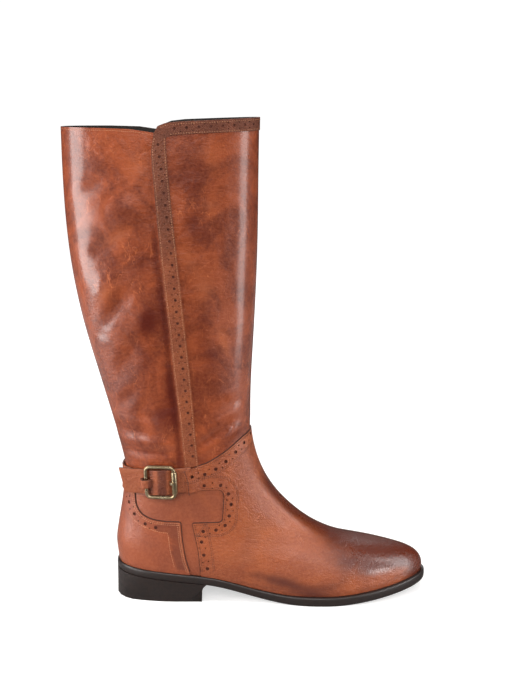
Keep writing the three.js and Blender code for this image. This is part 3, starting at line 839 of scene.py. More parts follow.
# The window between vamp and counter, where the quarter shows: its upper edge, round front and lower edge.
WINDOW = (
    (30.2, 104.2, 0), (41, 105.6, 0), (62.4, 106.0, 7.5), (60.4, 74.9, 5.0), (33.8, 74.3, 1.2),
    (36.0, 63.5, 0), (39.2, 47.5, 0), (40.8, 28.5, 0), (42.2, 6, 0),
)
COUNTER_TOP = (
    (-16.4, 114), (-16.4, 104), (-16.3, 96), (-15.2, 88), (-10.8, 81.4), (-2.6, 77.2), (8, 75.6),
    (18, 75.4),
)
COUNTER_FRONT = (
    (18, 75.4, 0), (23.4, 75.3, 1.6), (24.5, 59, 0), (27.2, 41.7, 0), (30.9, 28.5, 0), (34, 6, 0),
)
COUNTER_LOWER = (
    (-23, 81), (-15.9, 73.6), (-6.9, 69.2), (4.2, 66), (11.9, 65.2), (13, 59), (14.4, 47.6), (17.5, 34),
)
VAMP_REAR = ((27.8, 124.6), (30.5, 115.3), (31.6, 103.2))
VAMP_HOLES = (
    (83.6, 149.6), (78.3, 144.2), (71.3, 137.6), (63.1, 130.4), (54.6, 124.4), (45.2, 120.1),
    (33.9, 119.0),
)
LOOP_HOLES = (
    (44.6, 109.9), (58.6, 109.5), (65.3, 101.3), (67.7, 91.6), (66, 81.1), (62.4, 72.4), (54.5, 68.1),
    (43.4, 66.9), (41.8, 57.2), (43.6, 45.2), (46.7, 32.4), (49, 20),
)
# The darker, rougher patch that turns down the counter's front edge.
COUNTER_PATCH = (
    (0, 72.5), (9, 74.2), (21.8, 73.6), (24, 52), (27.8, 31), (19, 31), (15.4, 47.6), (13.8, 60),
    (12.2, 65.4), (1, 67),
)
COUNTER_HOLES = ((-23.5, 98.5), (-21.7, 89.5), (-16.8, 80.1), (-7.4, 72.5), (1.7, 69.8))
# Where the foot meets the sole: x and height.
SOLE_TOP = ((-36, 32), (0, 28), (40, 24), (80, 17), (120, 10), (150, 8), (200, 14), (243, 26))
# The zip's middle: height and x.
ZIP_LINE = (
    (44, 35), (80, 24), (115, 14), (160, 6), (220, -2), (300, -11), (360, -15), (408, -17.1), (430, -17.6),
)
# The brogued strip's rear edge, front edge and row of holes: height and x.
STRIP_REAR = (
    (110, 29), (133, 27.4), (168, 24.6), (209, 20.4), (257, 16.4), (301, 12), (359, 7.4), (398, 5.0),
    (411, 7.4),
)
STRIP_FRONT = (
    (110, 41.5), (138, 39.1), (168, 36.9), (209, 34), (256, 29.8), (301, 25.6), (359, 20), (398, 17.2),
    (411, 16.8),
)
STRIP_HOLES = (
    (110, 37.8), (126.6, 36), (148, 34.2), (198, 29.6), (238, 25.8), (278, 22.4), (307, 20.4), (345, 16.6),
    (402, 10.6),
)
# The collar's edge, from the rear panel up over the front panel.
COLLAR_EDGE = (
    (-90, 415.3, 0), (-68, 415.0, 0), (-36, 414.7, 0), (-12, 413.9, 0), (7.6, 411.0, 0.8), (10.4, 416.4, 2.0),
    (16.0, 418.6, 3.0), (28, 420.0, 6), (92, 422.6, 0), (110, 423.0, 0),
)
BAND_WIDTH = 10.6
ZIP_OPEN = 4.6  # from the zip's middle to the leather beside it


def zip_x(z: float) -> float:
    """Gives the zip's x at a height."""
    return table(ZIP_LINE, z)


COLLAR_LINE = tuple(rounded(COLLAR_EDGE))
SEAM_LINE = tuple(spline(VAMP_SEAM))


def height_on(line: Sequence[Row], x: float) -> float:
    """Reads the height of a line of a side view at x."""
    return float(np.interp(x, [p[0] for p in line], [p[1] for p in line]))


# ---- Shared shader groups ----
@dataclass
class Wiring:
    """Adds and links nodes in one tree."""

    tree: bpy.types.NodeTree

    def add(self, kind: str, **settings: object) -> bpy.types.Node:
        """Adds a node.

        Args:
            kind: The node's type, without its prefix.
            settings: Its properties.

        Returns:
            The node.
        """
        node = self.tree.nodes.new(f"ShaderNode{kind}")
        for name, value in settings.items():
            setattr(node, name, value)
        return node

    def link(self, source: bpy.types.NodeSocket, target: bpy.types.NodeSocket) -> None:
        """Links an output to an input."""
        self.tree.links.new(source, target)

    def math(self, operation: str, *values: object) -> bpy.types.NodeSocket:
        """Adds a math node.

        Args:
            operation: Its operation.
            values: Numbers, or the outputs that feed it.

        Returns:
            Its output.
        """
        node = self.add("Math", operation=operation)
        for socket, value in zip(node.inputs, values):
            if isinstance(value, (int, float)):
                socket.default_value = value
            else:
                self.link(value, socket)
        return node.outputs[0]

    def spread(self, value: bpy.types.NodeSocket, low: float, high: float,
               to_low: float = 0.0, to_high: float = 1.0) -> bpy.types.NodeSocket:
        """Maps a range of values softly to another.

        Args:
            value: What to map.
            low: The range's start.
            high: Its end.
            to_low: What the start becomes.
            to_high: What the end becomes.

        Returns:
            The mapped output.
        """
        node = self.add("MapRange", interpolation_type="SMOOTHSTEP")
        self.link(value, node.inputs["Value"])
        for name, number in zip(("From Min", "From Max", "To Min", "To Max"), (low, high, to_low, to_high)):
            node.inputs[name].default_value = number
        return node.outputs[0]

    def noise(self, vector: bpy.types.NodeSocket, scale: object, detail: float = 3.0,
              roughness: float = 0.5, distortion: float = 0.0) -> bpy.types.NodeSocket:
        """Adds a noise texture.

        Args:
            vector: Its coordinates.
            scale: Its scale, as a number or an output.
            detail: Its detail.
            roughness: Its roughness.
            distortion: Its distortion.

        Returns:
            Its height output.
        """
        node = self.add("TexNoise")
        self.link(vector, node.inputs["Vector"])
        if isinstance(scale, (int, float)):
            node.inputs["Scale"].default_value = scale
        else:
            self.link(scale, node.inputs["Scale"])
        node.inputs["Detail"].default_value = detail
        node.inputs["Roughness"].default_value = roughness
        node.inputs["Distortion"].default_value = distortion
        return node.outputs["Fac"]

    def mix(self, share: object, first: object, second: object, blend: str = "MIX") -> bpy.types.NodeSocket:
        """Mixes two colours.

        Args:
            share: How much of the second one, as a number or an output.
            first: A colour or an output.
            second: A colour or an output.
            blend: The blend mode.

        Returns:
            The mixed colour.
        """
        node = self.add("Mix", data_type="RGBA", blend_type=blend)
        for socket, value in zip((node.inputs[0], node.inputs[6], node.inputs[7]), (share, first, second)):
            if isinstance(value, bpy.types.NodeSocket):
                self.link(value, socket)
            elif isinstance(value, (int, float)):
                socket.default_value = value
            else:
                socket.default_value = (*value, 1.0)
        return node.outputs[2]

    def relief(self, height: bpy.types.NodeSocket, shader: bpy.types.Node) -> None:
        """Bumps a shader's surface.

        Args:
            height: The output that gives its height in millimetres.
            shader: The shader.
        """
        bump = self.add("Bump")
        bump.inputs["Distance"].default_value = MM
        bump.inputs["Strength"].default_value = 1.0
        self.link(height, bump.inputs["Height"])
        self.link(bump.outputs["Normal"], shader.inputs["Normal"])


def new_group(
    name: str, inputs: dict[str, float | None], outputs: Sequence[str]
) -> tuple[Wiring, dict, dict]:
    """Starts a shader node group.

    Args:
        name: The group's name.
        inputs: Its inputs with their first values, where None is a vector.
        outputs: Its outputs, which are all numbers.

    Returns:
        The group's wiring, its inputs by name and its outputs by name.
    """
    group = bpy.data.node_groups.new(name, "ShaderNodeTree")
    for label, value in inputs.items():
        kind = "NodeSocketVector" if value is None else "NodeSocketFloat"
        socket = group.interface.new_socket(label, in_out="INPUT", socket_type=kind)
        if value is not None:
            socket.default_value = value
    for label in outputs:
        group.interface.new_socket(label, in_out="OUTPUT", socket_type="NodeSocketFloat")
    entry = group.nodes.new("NodeGroupInput")
    leave = group.nodes.new("NodeGroupOutput")
    return Wiring(group), {s.name: s for s in entry.outputs}, {s.name: s for s in leave.inputs}


def start_material(name: str) -> tuple[bpy.types.Material, Wiring, bpy.types.Node]:
    """Starts a material.

    Args:
        name: Its name.

    Returns:
        The material, its wiring and its shader.
    """
    material = bpy.data.materials.new(name)
    material.use_nodes = True
    return material, Wiring(material.node_tree), material.node_tree.nodes["Principled BSDF"]


@dataclass
class Effects:
    """The shader groups that the boot's materials share."""

    groups: dict[str, bpy.types.NodeTree] = field(default_factory=dict)

    def build(self) -> None:
        """Builds every group once."""
        self.mottle()
        self.grain()

    def mottle(self) -> None:
        """Cloudy patches and pale wisps, as oiled leather shows where it was pulled."""
        net, entry, leave = new_group("hide mottle", {"Place": None, "Patch": 30.0, "Wisp": 50.0},
                                      ("Patches", "Wisps", "Flecks"))
        place = entry["Place"]
        broad = net.noise(place, entry["Patch"], 4.0, 0.62, 0.9)
        net.link(net.spread(broad, 0.34, 0.66), leave["Patches"])
        slant = net.add("Mapping")
        net.link(place, slant.inputs["Vector"])
        slant.inputs["Rotation"].default_value = (0.0, 0.55, 0.0)
        slant.inputs["Scale"].default_value = (1.0, 1.0, 0.45)
        coarse = net.noise(slant.outputs[0], entry["Wisp"], 3.0, 0.6, 0.5)
        fine = net.noise(slant.outputs[0], net.math("MULTIPLY", entry["Wisp"], 2.3), 2.0, 0.5, 0.4)
        ridges = [net.spread(net.math("ABSOLUTE", net.math("SUBTRACT", noise, 0.5)), 0.0, width, 1.0, 0.0)
                  for noise, width in ((coarse, 0.008), (fine, 0.011))]
        where = net.spread(net.noise(place, 33.0, 2.0), 0.46, 0.64)
        both = net.math("MAXIMUM", ridges[0], net.math("MULTIPLY", ridges[1], 0.45))
        net.link(net.math("MULTIPLY", both, where), leave["Wisps"])
        net.link(net.noise(place, 420.0, 2.0, 0.6), leave["Flecks"])
        self.groups["mottle"] = net.tree

    def grain(self) -> None:
        """The hide's fine pebbles and pores, as a height in millimetres."""
        net, entry, leave = new_group("hide grain", {"Place": None, "Pebble": 900.0, "Depth": 0.1,
                                                     "Wave": 0.3, "Wrinkle": 0.05}, ("Height",))
        stir = net.noise(entry["Place"], 160.0, 2.0)
        shift = net.add("VectorMath", operation="ADD")
        net.link(entry["Place"], shift.inputs[0])
        net.link(net.math("MULTIPLY", stir, 0.002), shift.inputs[1])
        cells = net.add("TexVoronoi", feature="SMOOTH_F1")
        net.link(shift.outputs[0], cells.inputs["Vector"])
        net.link(entry["Pebble"], cells.inputs["Scale"])
        cells.inputs["Smoothness"].default_value = 0.6
        fine = net.noise(entry["Place"], 1500.0, 2.0, 0.6)
        broad = net.noise(entry["Place"], 210.0, 3.0, 0.6)
        pebbles = net.math("MULTIPLY", cells.outputs["Distance"], -0.8)
        both = net.math("ADD", pebbles, net.math("MULTIPLY", fine, 0.4))
        whole = net.math("ADD", both, net.math("MULTIPLY", broad, 1.1))
        grain = net.math("MULTIPLY", whole, entry["Depth"])
        waves = net.math("MULTIPLY", net.noise(entry["Place"], 48.0, 2.0, 0.5, 0.4), entry["Wave"])
        flat = net.add("Mapping")
        net.link(entry["Place"], flat.inputs["Vector"])
        flat.inputs["Scale"].default_value = (0.45, 0.45, 1.0)
        folds = net.math("MULTIPLY", net.noise(flat.outputs[0], 330.0, 3.0, 0.62, 0.8), entry["Wrinkle"])
        net.link(net.math("ADD", grain, net.math("ADD", waves, folds)), leave["Height"])
        self.groups["grain"] = net.tree


@dataclass(frozen=True)
class Leather:
    """A leather finish: its colours, clouds, grain and shine, and the polish that stained places and places
    of painted shade get.
    """

    name: str
    base: Color
    dark: Color
    pale: Color
    patch: float = 26.0
    cloud: float = 0.8
    wisp: float = 50.0
    wisps: float = 0.4
    pebble: float = 900.0
    depth: float = 0.1
    wave: float = 0.2
    wrinkle: float = 0.04
    roughness: tuple[float, float] = (0.36, 0.5)
    coat: float = 0.15
    polish: float = 0.0
    buffing: float = 0.25
    specular: float = 0.5
    # the colour of stains, and of painted shade where the attribute carries it
    stain_and_shading: Color = (0.05, 0.018, 0.01)

    def material(self, effects: Effects) -> bpy.types.Material:
        """Builds the finish as a material.

        Args:
            effects: The shared shader groups.

        Returns:
            The material.
        """
        material, net, shader = start_material(self.name)
        place = net.add("TexCoord").outputs["Object"]
        mottle = net.add("Group", node_tree=effects.groups["mottle"])
        net.link(place, mottle.inputs["Place"])
        mottle.inputs["Patch"].default_value = self.patch
        mottle.inputs["Wisp"].default_value = self.wisp
        color = net.mix(net.math("MULTIPLY", mottle.outputs["Patches"], self.cloud), self.base, self.dark)
        color = net.mix(net.math("MULTIPLY", mottle.outputs["Wisps"], self.wisps), color, self.pale)
        flecks = net.spread(mottle.outputs["Flecks"], 0.3, 0.7, 0.0, 0.16)
        color = net.mix(flecks, color, self.pale)
        # the attribute darkens for stains and painted shade, and pales for pale tone and painted highlight
        stain_and_shading = net.add("Attribute", attribute_name="stain_and_shading").outputs["Fac"]
        cloudy = net.math("MULTIPLY_ADD", mottle.outputs["Patches"], 0.25, 0.85)
        stain_and_shading = net.math("MULTIPLY", stain_and_shading, cloudy)
        color = net.mix(net.spread(stain_and_shading, 0.0, 1.0), color, self.stain_and_shading)
        color = net.mix(net.spread(net.math("MULTIPLY", stain_and_shading, -1.0), 0.0, 1.0), color, self.pale)
        net.link(color, shader.inputs["Base Color"])
        shine = net.math("ADD", net.math("MULTIPLY", mottle.outputs["Flecks"], 0.3),
                         net.math("MULTIPLY", mottle.outputs["Patches"], 0.3))
        rough = net.spread(shine, 0.1, 0.5, *self.roughness)
        if self.polish:
            buffed = net.spread(stain_and_shading, 0.0, 1.0, self.coat, self.coat + self.polish)
            net.link(buffed, shader.inputs["Coat Weight"])
            rough = net.math("SUBTRACT", rough, net.math("MULTIPLY", buffed, self.buffing))
        net.link(rough, shader.inputs["Roughness"])
        grain = net.add("Group", node_tree=effects.groups["grain"])
        net.link(place, grain.inputs["Place"])
        grain.inputs["Pebble"].default_value = self.pebble
        grain.inputs["Depth"].default_value = self.depth
        grain.inputs["Wave"].default_value = self.wave
        grain.inputs["Wrinkle"].default_value = self.wrinkle
        net.relief(grain.outputs["Height"], shader)
        shader.inputs["Specular IOR Level"].default_value = self.specular
        shader.inputs["Coat Weight"].default_value = self.coat
        shader.inputs["Coat Roughness"].default_value = 0.2
        return material


@dataclass(frozen=True)
class Plain:
    """A finish of one colour that a noise breaks up: thread, cloth, raw edges, rubber or metal."""

    name: str
    base: Color
    other: Color
    scale: float = 300.0
    roughness: tuple[float, float] = (0.5, 0.7)
    metallic: float = 0.0
    bump: float = 0.05
    lines: float = 0.0
    coat: float = 0.0

    def material(self, effects: Effects) -> bpy.types.Material:
        """Builds the finish as a material.

        Args:
            effects: The shared shader groups; not used.

        Returns:
            The material.
        """
        material, net, shader = start_material(self.name)
        place = net.add("TexCoord").outputs["Object"]
        cloud = net.noise(place, self.scale, 4.0, 0.6)
        share = net.spread(cloud, 0.35, 0.65)
        height = cloud
        if self.lines:
            stretch = net.add("Mapping")
            net.link(place, stretch.inputs["Vector"])
            stretch.inputs["Scale"].default_value = (0.02, 0.02, 1.0)
            layers = net.noise(stretch.outputs[0], self.lines, 3.0, 0.7)
            height = net.math("ADD", net.math("MULTIPLY", cloud, 0.35), layers)
            share = net.math("MULTIPLY", share, net.spread(layers, 0.3, 0.7, 0.4, 1.0))
        net.link(net.mix(share, self.base, self.other), shader.inputs["Base Color"])
        net.link(net.spread(cloud, 0.3, 0.7, *self.roughness), shader.inputs["Roughness"])
        shader.inputs["Metallic"].default_value = self.metallic
        shader.inputs["Coat Weight"].default_value = self.coat
        net.relief(net.math("MULTIPLY", height, self.bump), shader)
        return material


def srgb(red: int, green: int, blue: int) -> Color:
    """Turns a display colour into a linear one.

    Args:
        red: Its red, 0 to 255.
        green: Its green.
        blue: Its blue.

    Returns:
        The linear colour.
    """

    def linear(value: int) -> float:
        """Turns one channel."""
        share = value / 255
        return share / 12.92 if share <= 0.04045 else ((share + 0.055) / 1.055) ** 2.4

    return linear(red), linear(green), linear(blue)


class Finish(Enum):
    """Every finish of the boot."""

    SHAFT = Leather("shaft leather", srgb(142, 66, 36), srgb(90, 30, 12), srgb(192, 104, 62),
                    patch=30.0, cloud=0.85, wisps=0.55, wave=2.4, wrinkle=0.6, coat=0.7, specular=0.2,
                    stain_and_shading=srgb(86, 24, 8))
    VAMP = Leather("vamp leather", srgb(148, 73, 38), srgb(118, 51, 25), srgb(192, 116, 74),
                   patch=22.0, cloud=0.65, wisps=0.15, depth=0.3, wave=0.8, wrinkle=0.5,
                   roughness=(0.38, 0.52), coat=0.06, polish=0.45, specular=0.5, stain_and_shading=srgb(84, 31, 13))
    QUARTER = Leather("quarter leather", srgb(144, 72, 42), srgb(116, 50, 27), srgb(180, 104, 68),
                      patch=26.0, cloud=0.6, wisps=0.1, depth=0.2, wave=0.8, wrinkle=0.3, specular=0.5,
                      stain_and_shading=srgb(70, 28, 17))
    COUNTER = Leather("counter leather", srgb(140, 67, 37), srgb(112, 46, 24), srgb(186, 108, 70),
                      patch=24.0, cloud=0.6, wisps=0.1, depth=0.2, wave=0.6, wrinkle=0.25, coat=0.4,
                      specular=0.4, stain_and_shading=srgb(84, 36, 24))
    BROGUED = Leather("brogued leather", srgb(134, 66, 35), srgb(104, 44, 22), srgb(176, 106, 68),
                      patch=40.0, cloud=0.6, wisp=200.0, wisps=0.3, pebble=700.0, depth=0.5,
                      roughness=(0.5, 0.68), coat=0.0, specular=0.35, stain_and_shading=srgb(84, 42, 25))
    STRAP = Leather("strap leather", srgb(148, 78, 47), srgb(120, 55, 32), srgb(190, 116, 78),
                    patch=34.0, cloud=0.6, wisp=260.0, wisps=0.35, pebble=760.0, depth=0.45,
                    roughness=(0.45, 0.6), coat=0.0, specular=0.35, stain_and_shading=srgb(82, 34, 18))
    STRAP_EDGE = Plain("strap edge", srgb(100, 54, 34), srgb(78, 40, 26), 500.0, (0.6, 0.8))
    RAW_EDGE = Plain("cut edge", srgb(82, 38, 22), srgb(62, 28, 16), 500.0, (0.6, 0.8))
    # darker underlay, seen only through the holes, where it also stands in for painted shade at their bottoms
    BACKING = Plain("backing", srgb(100, 44, 25), srgb(72, 31, 18), 400.0, (0.7, 0.9))
    LINING = Plain("lining", srgb(38, 30, 26), srgb(28, 22, 19), 900.0, (0.75, 0.95), bump=0.12)
    # painted shadow at the foot of the overlays' cut edges
    EDGE_SHADOW = Plain("painted edge shadow", srgb(58, 25, 15), srgb(44, 19, 12), 500.0, (0.6, 0.8))
    THREAD = Plain("thread", srgb(206, 146, 104), srgb(180, 118, 80), 900.0, (0.5, 0.65))
    # dark thread, which also stands in for painted shade in the needle holes
    DARK_THREAD_AND_HOLE_SHADE = Plain("dark thread and needle-hole shade", srgb(76, 34, 20), srgb(60, 26, 15), 900.0, (0.5, 0.65))
    SOLE = Plain("sole edge", srgb(35, 23, 19), srgb(23, 15, 12), 260.0, (0.36, 0.5), bump=0.05, lines=900.0)
    TREAD = Plain("sole face", srgb(58, 52, 48), srgb(40, 36, 33), 420.0, (0.6, 0.8), bump=0.1)
    INSOLE = Plain("insole leather", srgb(126, 88, 60), srgb(102, 70, 48), 300.0, (0.55, 0.7), bump=0.08)
    BRASS = Plain("old brass", srgb(188, 170, 138), srgb(138, 120, 92), 90.0, (0.24, 0.38),
                  metallic=1.0, bump=0.01)
    ZIP = Plain("zip teeth", srgb(120, 98, 62), srgb(84, 66, 42), 500.0, (0.3, 0.45),
                metallic=1.0, bump=0.02)
    TAPE = Plain("zip tape", srgb(70, 42, 28), srgb(54, 32, 22), 1200.0, (0.8, 0.95), bump=0.15)


@dataclass
class Wardrobe:
    """Hands out each finish's material, built once."""

    effects: Effects
    made: dict[Finish, bpy.types.Material] = field(default_factory=dict)

    def get(self, finish: Finish) -> bpy.types.Material:
        """Gives the material of a finish.

        Args:
            finish: The finish.

        Returns:
            Its material.
        """
        if finish not in self.made:
            self.made[finish] = finish.value.material(self.effects)
        return self.made[finish]

    def dress(self, piece: Piece, *finishes: Finish) -> Piece:
        """Gives a piece the materials of some finishes, in the order of its slots."""
        return dress(piece, *(self.get(finish) for finish in finishes))


# ---- Cutting pieces from the skin ----
@dataclass
class Pattern:
    """A leather piece's outline on each side of the boot, empty where a side has none of it."""

    outer: Sequence[Row] = ()
    inner: Sequence[Row] = ()

    def covers(self, points: np.ndarray) -> np.ndarray:
        """Tells which points of the skin lie under the piece.

        Args:
            points: Rows of x, y and z, in metres.

        Returns:
            True for each one that does.
        """
        x, y, z = (points / MM).T
        found = np.zeros(len(points), bool)
        for outline, here in ((self.outer, y < 0), (self.inner, y >= 0)):
            if outline:
                found |= here & contains(outline, x, z)
        return found


@dataclass
class Cutter:
    """Cuts pieces from a skin along patterns and punches holes in them."""

    skin: Skin
    reach: float = 120.0
    punch_sides: int = 14
    tube: Piece = field(init=False)

    def wall(self, outline: Sequence[Row], low: float, high: float) -> Piece:
        """Stands an outline up as a wall across the boot.

        Args:
            outline: Pairs of x and z, taken as closed.
            low: The wall's lowest y.
            high: Its highest y.

        Returns:
            The wall.
        """
        near = [(x * MM, low * MM, z * MM) for x, z in outline]
        far = [(x * MM, high * MM, z * MM) for x, z in outline]
        count = len(outline)
        faces = [(i, (i + 1) % count, count + (i + 1) % count, count + i) for i in range(count)]
        mesh = bpy.data.meshes.new("wall")
        mesh.from_pydata(near + far, [], faces)
        wall = bpy.data.objects.new("wall", mesh)
        bpy.context.scene.collection.objects.link(wall)
        return wall

    def punch(self, stop: Stop, radius: float) -> Piece:
        """Stands a round punch on the skin.

        Args:
            stop: Where it stands.
            radius: Its radius.

        Returns:
            The punch, an open tube.
        """
        tube = duplicate(self.tube, "punch")
        tube.data.transform(stop.matrix() @ Matrix.Diagonal((radius, radius, 1.0, 1.0)))
        return tube

    def prepare(self) -> None:
        """Makes the tube that every punch is a copy of."""
        bpy.ops.object.select_all(action="DESELECT")
        bpy.ops.mesh.primitive_cylinder_add(
            vertices=self.punch_sides, radius=MM, depth=5 * MM, end_fill_type="NOTHING"
        )
        self.tube = bpy.context.view_layer.objects.active

    def cut(self, name: str, pattern: Pattern, holes: Sequence[tuple[Stop, float]] = ()) -> Piece:
        """Cuts a sheet from the skin.

        Args:
            name: The sheet's name.
            pattern: Its outlines.
            holes: Where holes are punched, each with its radius.

        Returns:
            The sheet, with no thickness yet.
        """
        tools = []
        if pattern.outer and pattern.outer == pattern.inner:
            tools.append(self.wall(pattern.outer, -self.reach, self.reach))
        else:
            if pattern.outer:
                tools.append(self.wall(pattern.outer, -self.reach, 0.0))
            if pattern.inner:
                tools.append(self.wall(pattern.inner, 0.0, self.reach))
        tools += [self.punch(stop, radius) for stop, radius in holes]
        marker = bpy.data.materials.new("tool")
        for tool in tools:
            dress(tool, marker)
        sheet = dress(duplicate(self.skin.piece, name), bpy.data.materials.new("hide"))
        join(name, [sheet, *tools])
        pick_faces(sheet, lambda face: face.material_index == 1)
        with editing(sheet):
            bpy.ops.mesh.intersect(mode="SELECT_UNSELECT", separate_mode="CUT", solver="EXACT")
        places = inside_points(sheet)
        marks = np.zeros(len(sheet.data.polygons), int)
        sheet.data.polygons.foreach_get("material_index", marks)
        waste = (marks == 1) | ~pattern.covers(places)
        for stop, radius in holes:
            offsets = places - np.array(stop.spot.point)
            waste |= (offsets ** 2).sum(axis=1) < (radius * MM) ** 2
        delete_faces(sheet, waste)
        for face in sheet.data.polygons:
            face.material_index = 0
        with editing(sheet, "VERT"):
            bpy.ops.mesh.select_all(action="SELECT")
            bpy.ops.mesh.remove_doubles(threshold=0.002 * MM)
        sheet.data.materials.clear()
        return sheet


def thicken(sheet: Piece, thickness: float, outward: bool = True) -> Piece:
    """Gives a sheet its thickness, with the second material on its edges.

    Args:
        sheet: The sheet.
        thickness: How thick it gets.
        outward: Whether it grows out of the boot or into it.

    Returns:
        The same piece.
    """
    modify(
        sheet, "SOLIDIFY", thickness=thickness * MM, offset=1.0 if outward else -1.0,
        use_rim=True, use_even_offset=False, material_offset_rim=1,
    )
    return smooth_shade(sheet, 40.0)


# ---- The leg and foot ----
@dataclass
class Last:
    """The boot's outer surface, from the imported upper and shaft, with its dents and creases."""

    sink: float = 0.6  # how far the lower leathers lie under the overlays' middle
    seam_fade: float = 15.0
    gutter: float = 0.9  # how deep the shaft dips behind the strip's rear edge
    gutter_place: float = 2.2  # how far behind that edge it is deepest
    gutter_width: float = 2.4
    gutter_foot: Row = (127, 150)
    gutter_top: Row = (398, 408)
    sole_fade: Row = (22, 26)
    seam_gap: float = 0.6
    collar_spare: float = 9.0
    levels: int = 2
    flat_turn: float = 0.9  # radians between faces past which a rim starts
    upright: float = 0.7  # share of its length that an upright edge rises
    leg_height: float = 300.0  # between the foot's edges and the collar's
    plain: Skin = field(init=False)

    def outer_faces(self, node: str) -> Piece:
        """Cuts the outer surface from one of the frame's hollow walls.

        Args:
            node: The node's name.

        Returns:
            Its outer surface, in quads.
        """
        wall = node_copy(node, f"{node} surface")
        outermost = min(wall.data.polygons, key=lambda face: face.center.y).index
        pick_faces(wall, lambda face: face.index == outermost)
        wall.data.polygons.active = outermost
        with editing(wall):
            bpy.ops.mesh.faces_select_linked_flat(sharpness=self.flat_turn)
            bpy.ops.mesh.select_all(action="INVERT")
            bpy.ops.mesh.delete(type="FACE")
        make_quads(wall)
        return wall

    def build(self) -> Skin:
        """Makes the whole surface.

        Returns:
            The surface, from the sole to above the collar.
        """
        foot, leg = self.outer_faces("upper"), self.outer_faces("shaft")
        pick_edges(leg, lambda a, b: abs(a.z - b.z) > self.upright * (a - b).length)
        with editing(leg, "EDGE"):
            bpy.ops.mesh.subdivide_edgering(number_cuts=1, interpolation="SURFACE", smoothness=1.0)
        surface = join("skin", [foot, leg])
        with editing(surface, "VERT"):
            pick_rims()
            bpy.ops.mesh.remove_doubles(threshold=self.seam_gap * MM)
            bpy.ops.mesh.select_all(action="SELECT")
            bpy.ops.mesh.normals_make_consistent(inside=False)
        subdivide(surface, self.levels)
        self.plain = Skin(duplicate(surface, "plain skin"))
        self.shape(surface)
        self.extend(surface)
        focus(surface)
        bpy.ops.object.shade_smooth()
        return Skin(surface)

    def shape(self, surface: Piece) -> None:
        """Presses the dents and creases in and sinks what the overlays cover.

        Args:
            surface: The surface.
        """
        points = point_array(surface) / MM
        lift = sum(crease.lift(points) for crease in CREASES) - sum(dent.weight(points) for dent in DENTS)
        beside = points[:, 0] - np.interp(points[:, 2], *zip(*STRIP_REAR))
        gutter = np.exp(-((beside + self.gutter_place) / self.gutter_width) ** 2) * (points[:, 1] < 0)
        gutter = gutter * smooth(*self.gutter_foot, points[:, 2])
        gutter = gutter * (1 - smooth(*self.gutter_top, points[:, 2]))
        lift = lift - gutter * self.gutter
        fade = smooth(*self.sole_fade, points[:, 2])
        seam = np.interp(points[:, 0], *zip(*SEAM_LINE))
        sunk = 1 - smooth(0.0, self.seam_fade, points[:, 2] - seam)
        push(surface, lift * fade - self.sink * sunk)

    def extend(self, surface: Piece) -> None:
        """Carries the surface up past the collar, so that its edge can be cut.

        Args:
            surface: The surface.
        """
        with editing(surface, "EDGE"):
            pick_rims()
        mesh = surface.data
        for edge in mesh.edges:
            low = all(mesh.vertices[v].co.z < self.leg_height * MM for v in edge.vertices)
            edge.select = edge.select and not low
        for vertex in mesh.vertices:
            vertex.select = vertex.select and vertex.co.z > self.leg_height * MM
        with editing(surface, "EDGE"):
            bpy.ops.mesh.extrude_edges_move(TRANSFORM_OT_translate={"value": (0, 0, self.collar_spare * MM)})


@dataclass
class HoleRow:
    """A row of brogueing: large holes with a pair of small ones between each two."""

    centres: list[Spot]
    large: float = 1.15
    small: float = 0.5
    pair: float = 2.5

    def holes(self, skin: Skin) -> list[tuple[Stop, float]]:
        """Places the row's holes.

        Args:
            skin: The skin they are punched on.

        Returns:
            Each hole's place and radius.
        """
        found = []
        for here, ahead in zip(self.centres, self.centres[1:]):
            along = (ahead.point - here.point).normalized()
            found.append((Stop(here, along), self.large))
            middle = Stop(skin.nearest((here.point + ahead.point) / 2), along)
            for side in (-self.pair, self.pair):
                spot = skin.nearest(middle.spot.point + middle.across * side * MM)
                found.append((Stop(spot, along), self.small))
        return [*found, (Stop(self.centres[-1], along), self.large)]


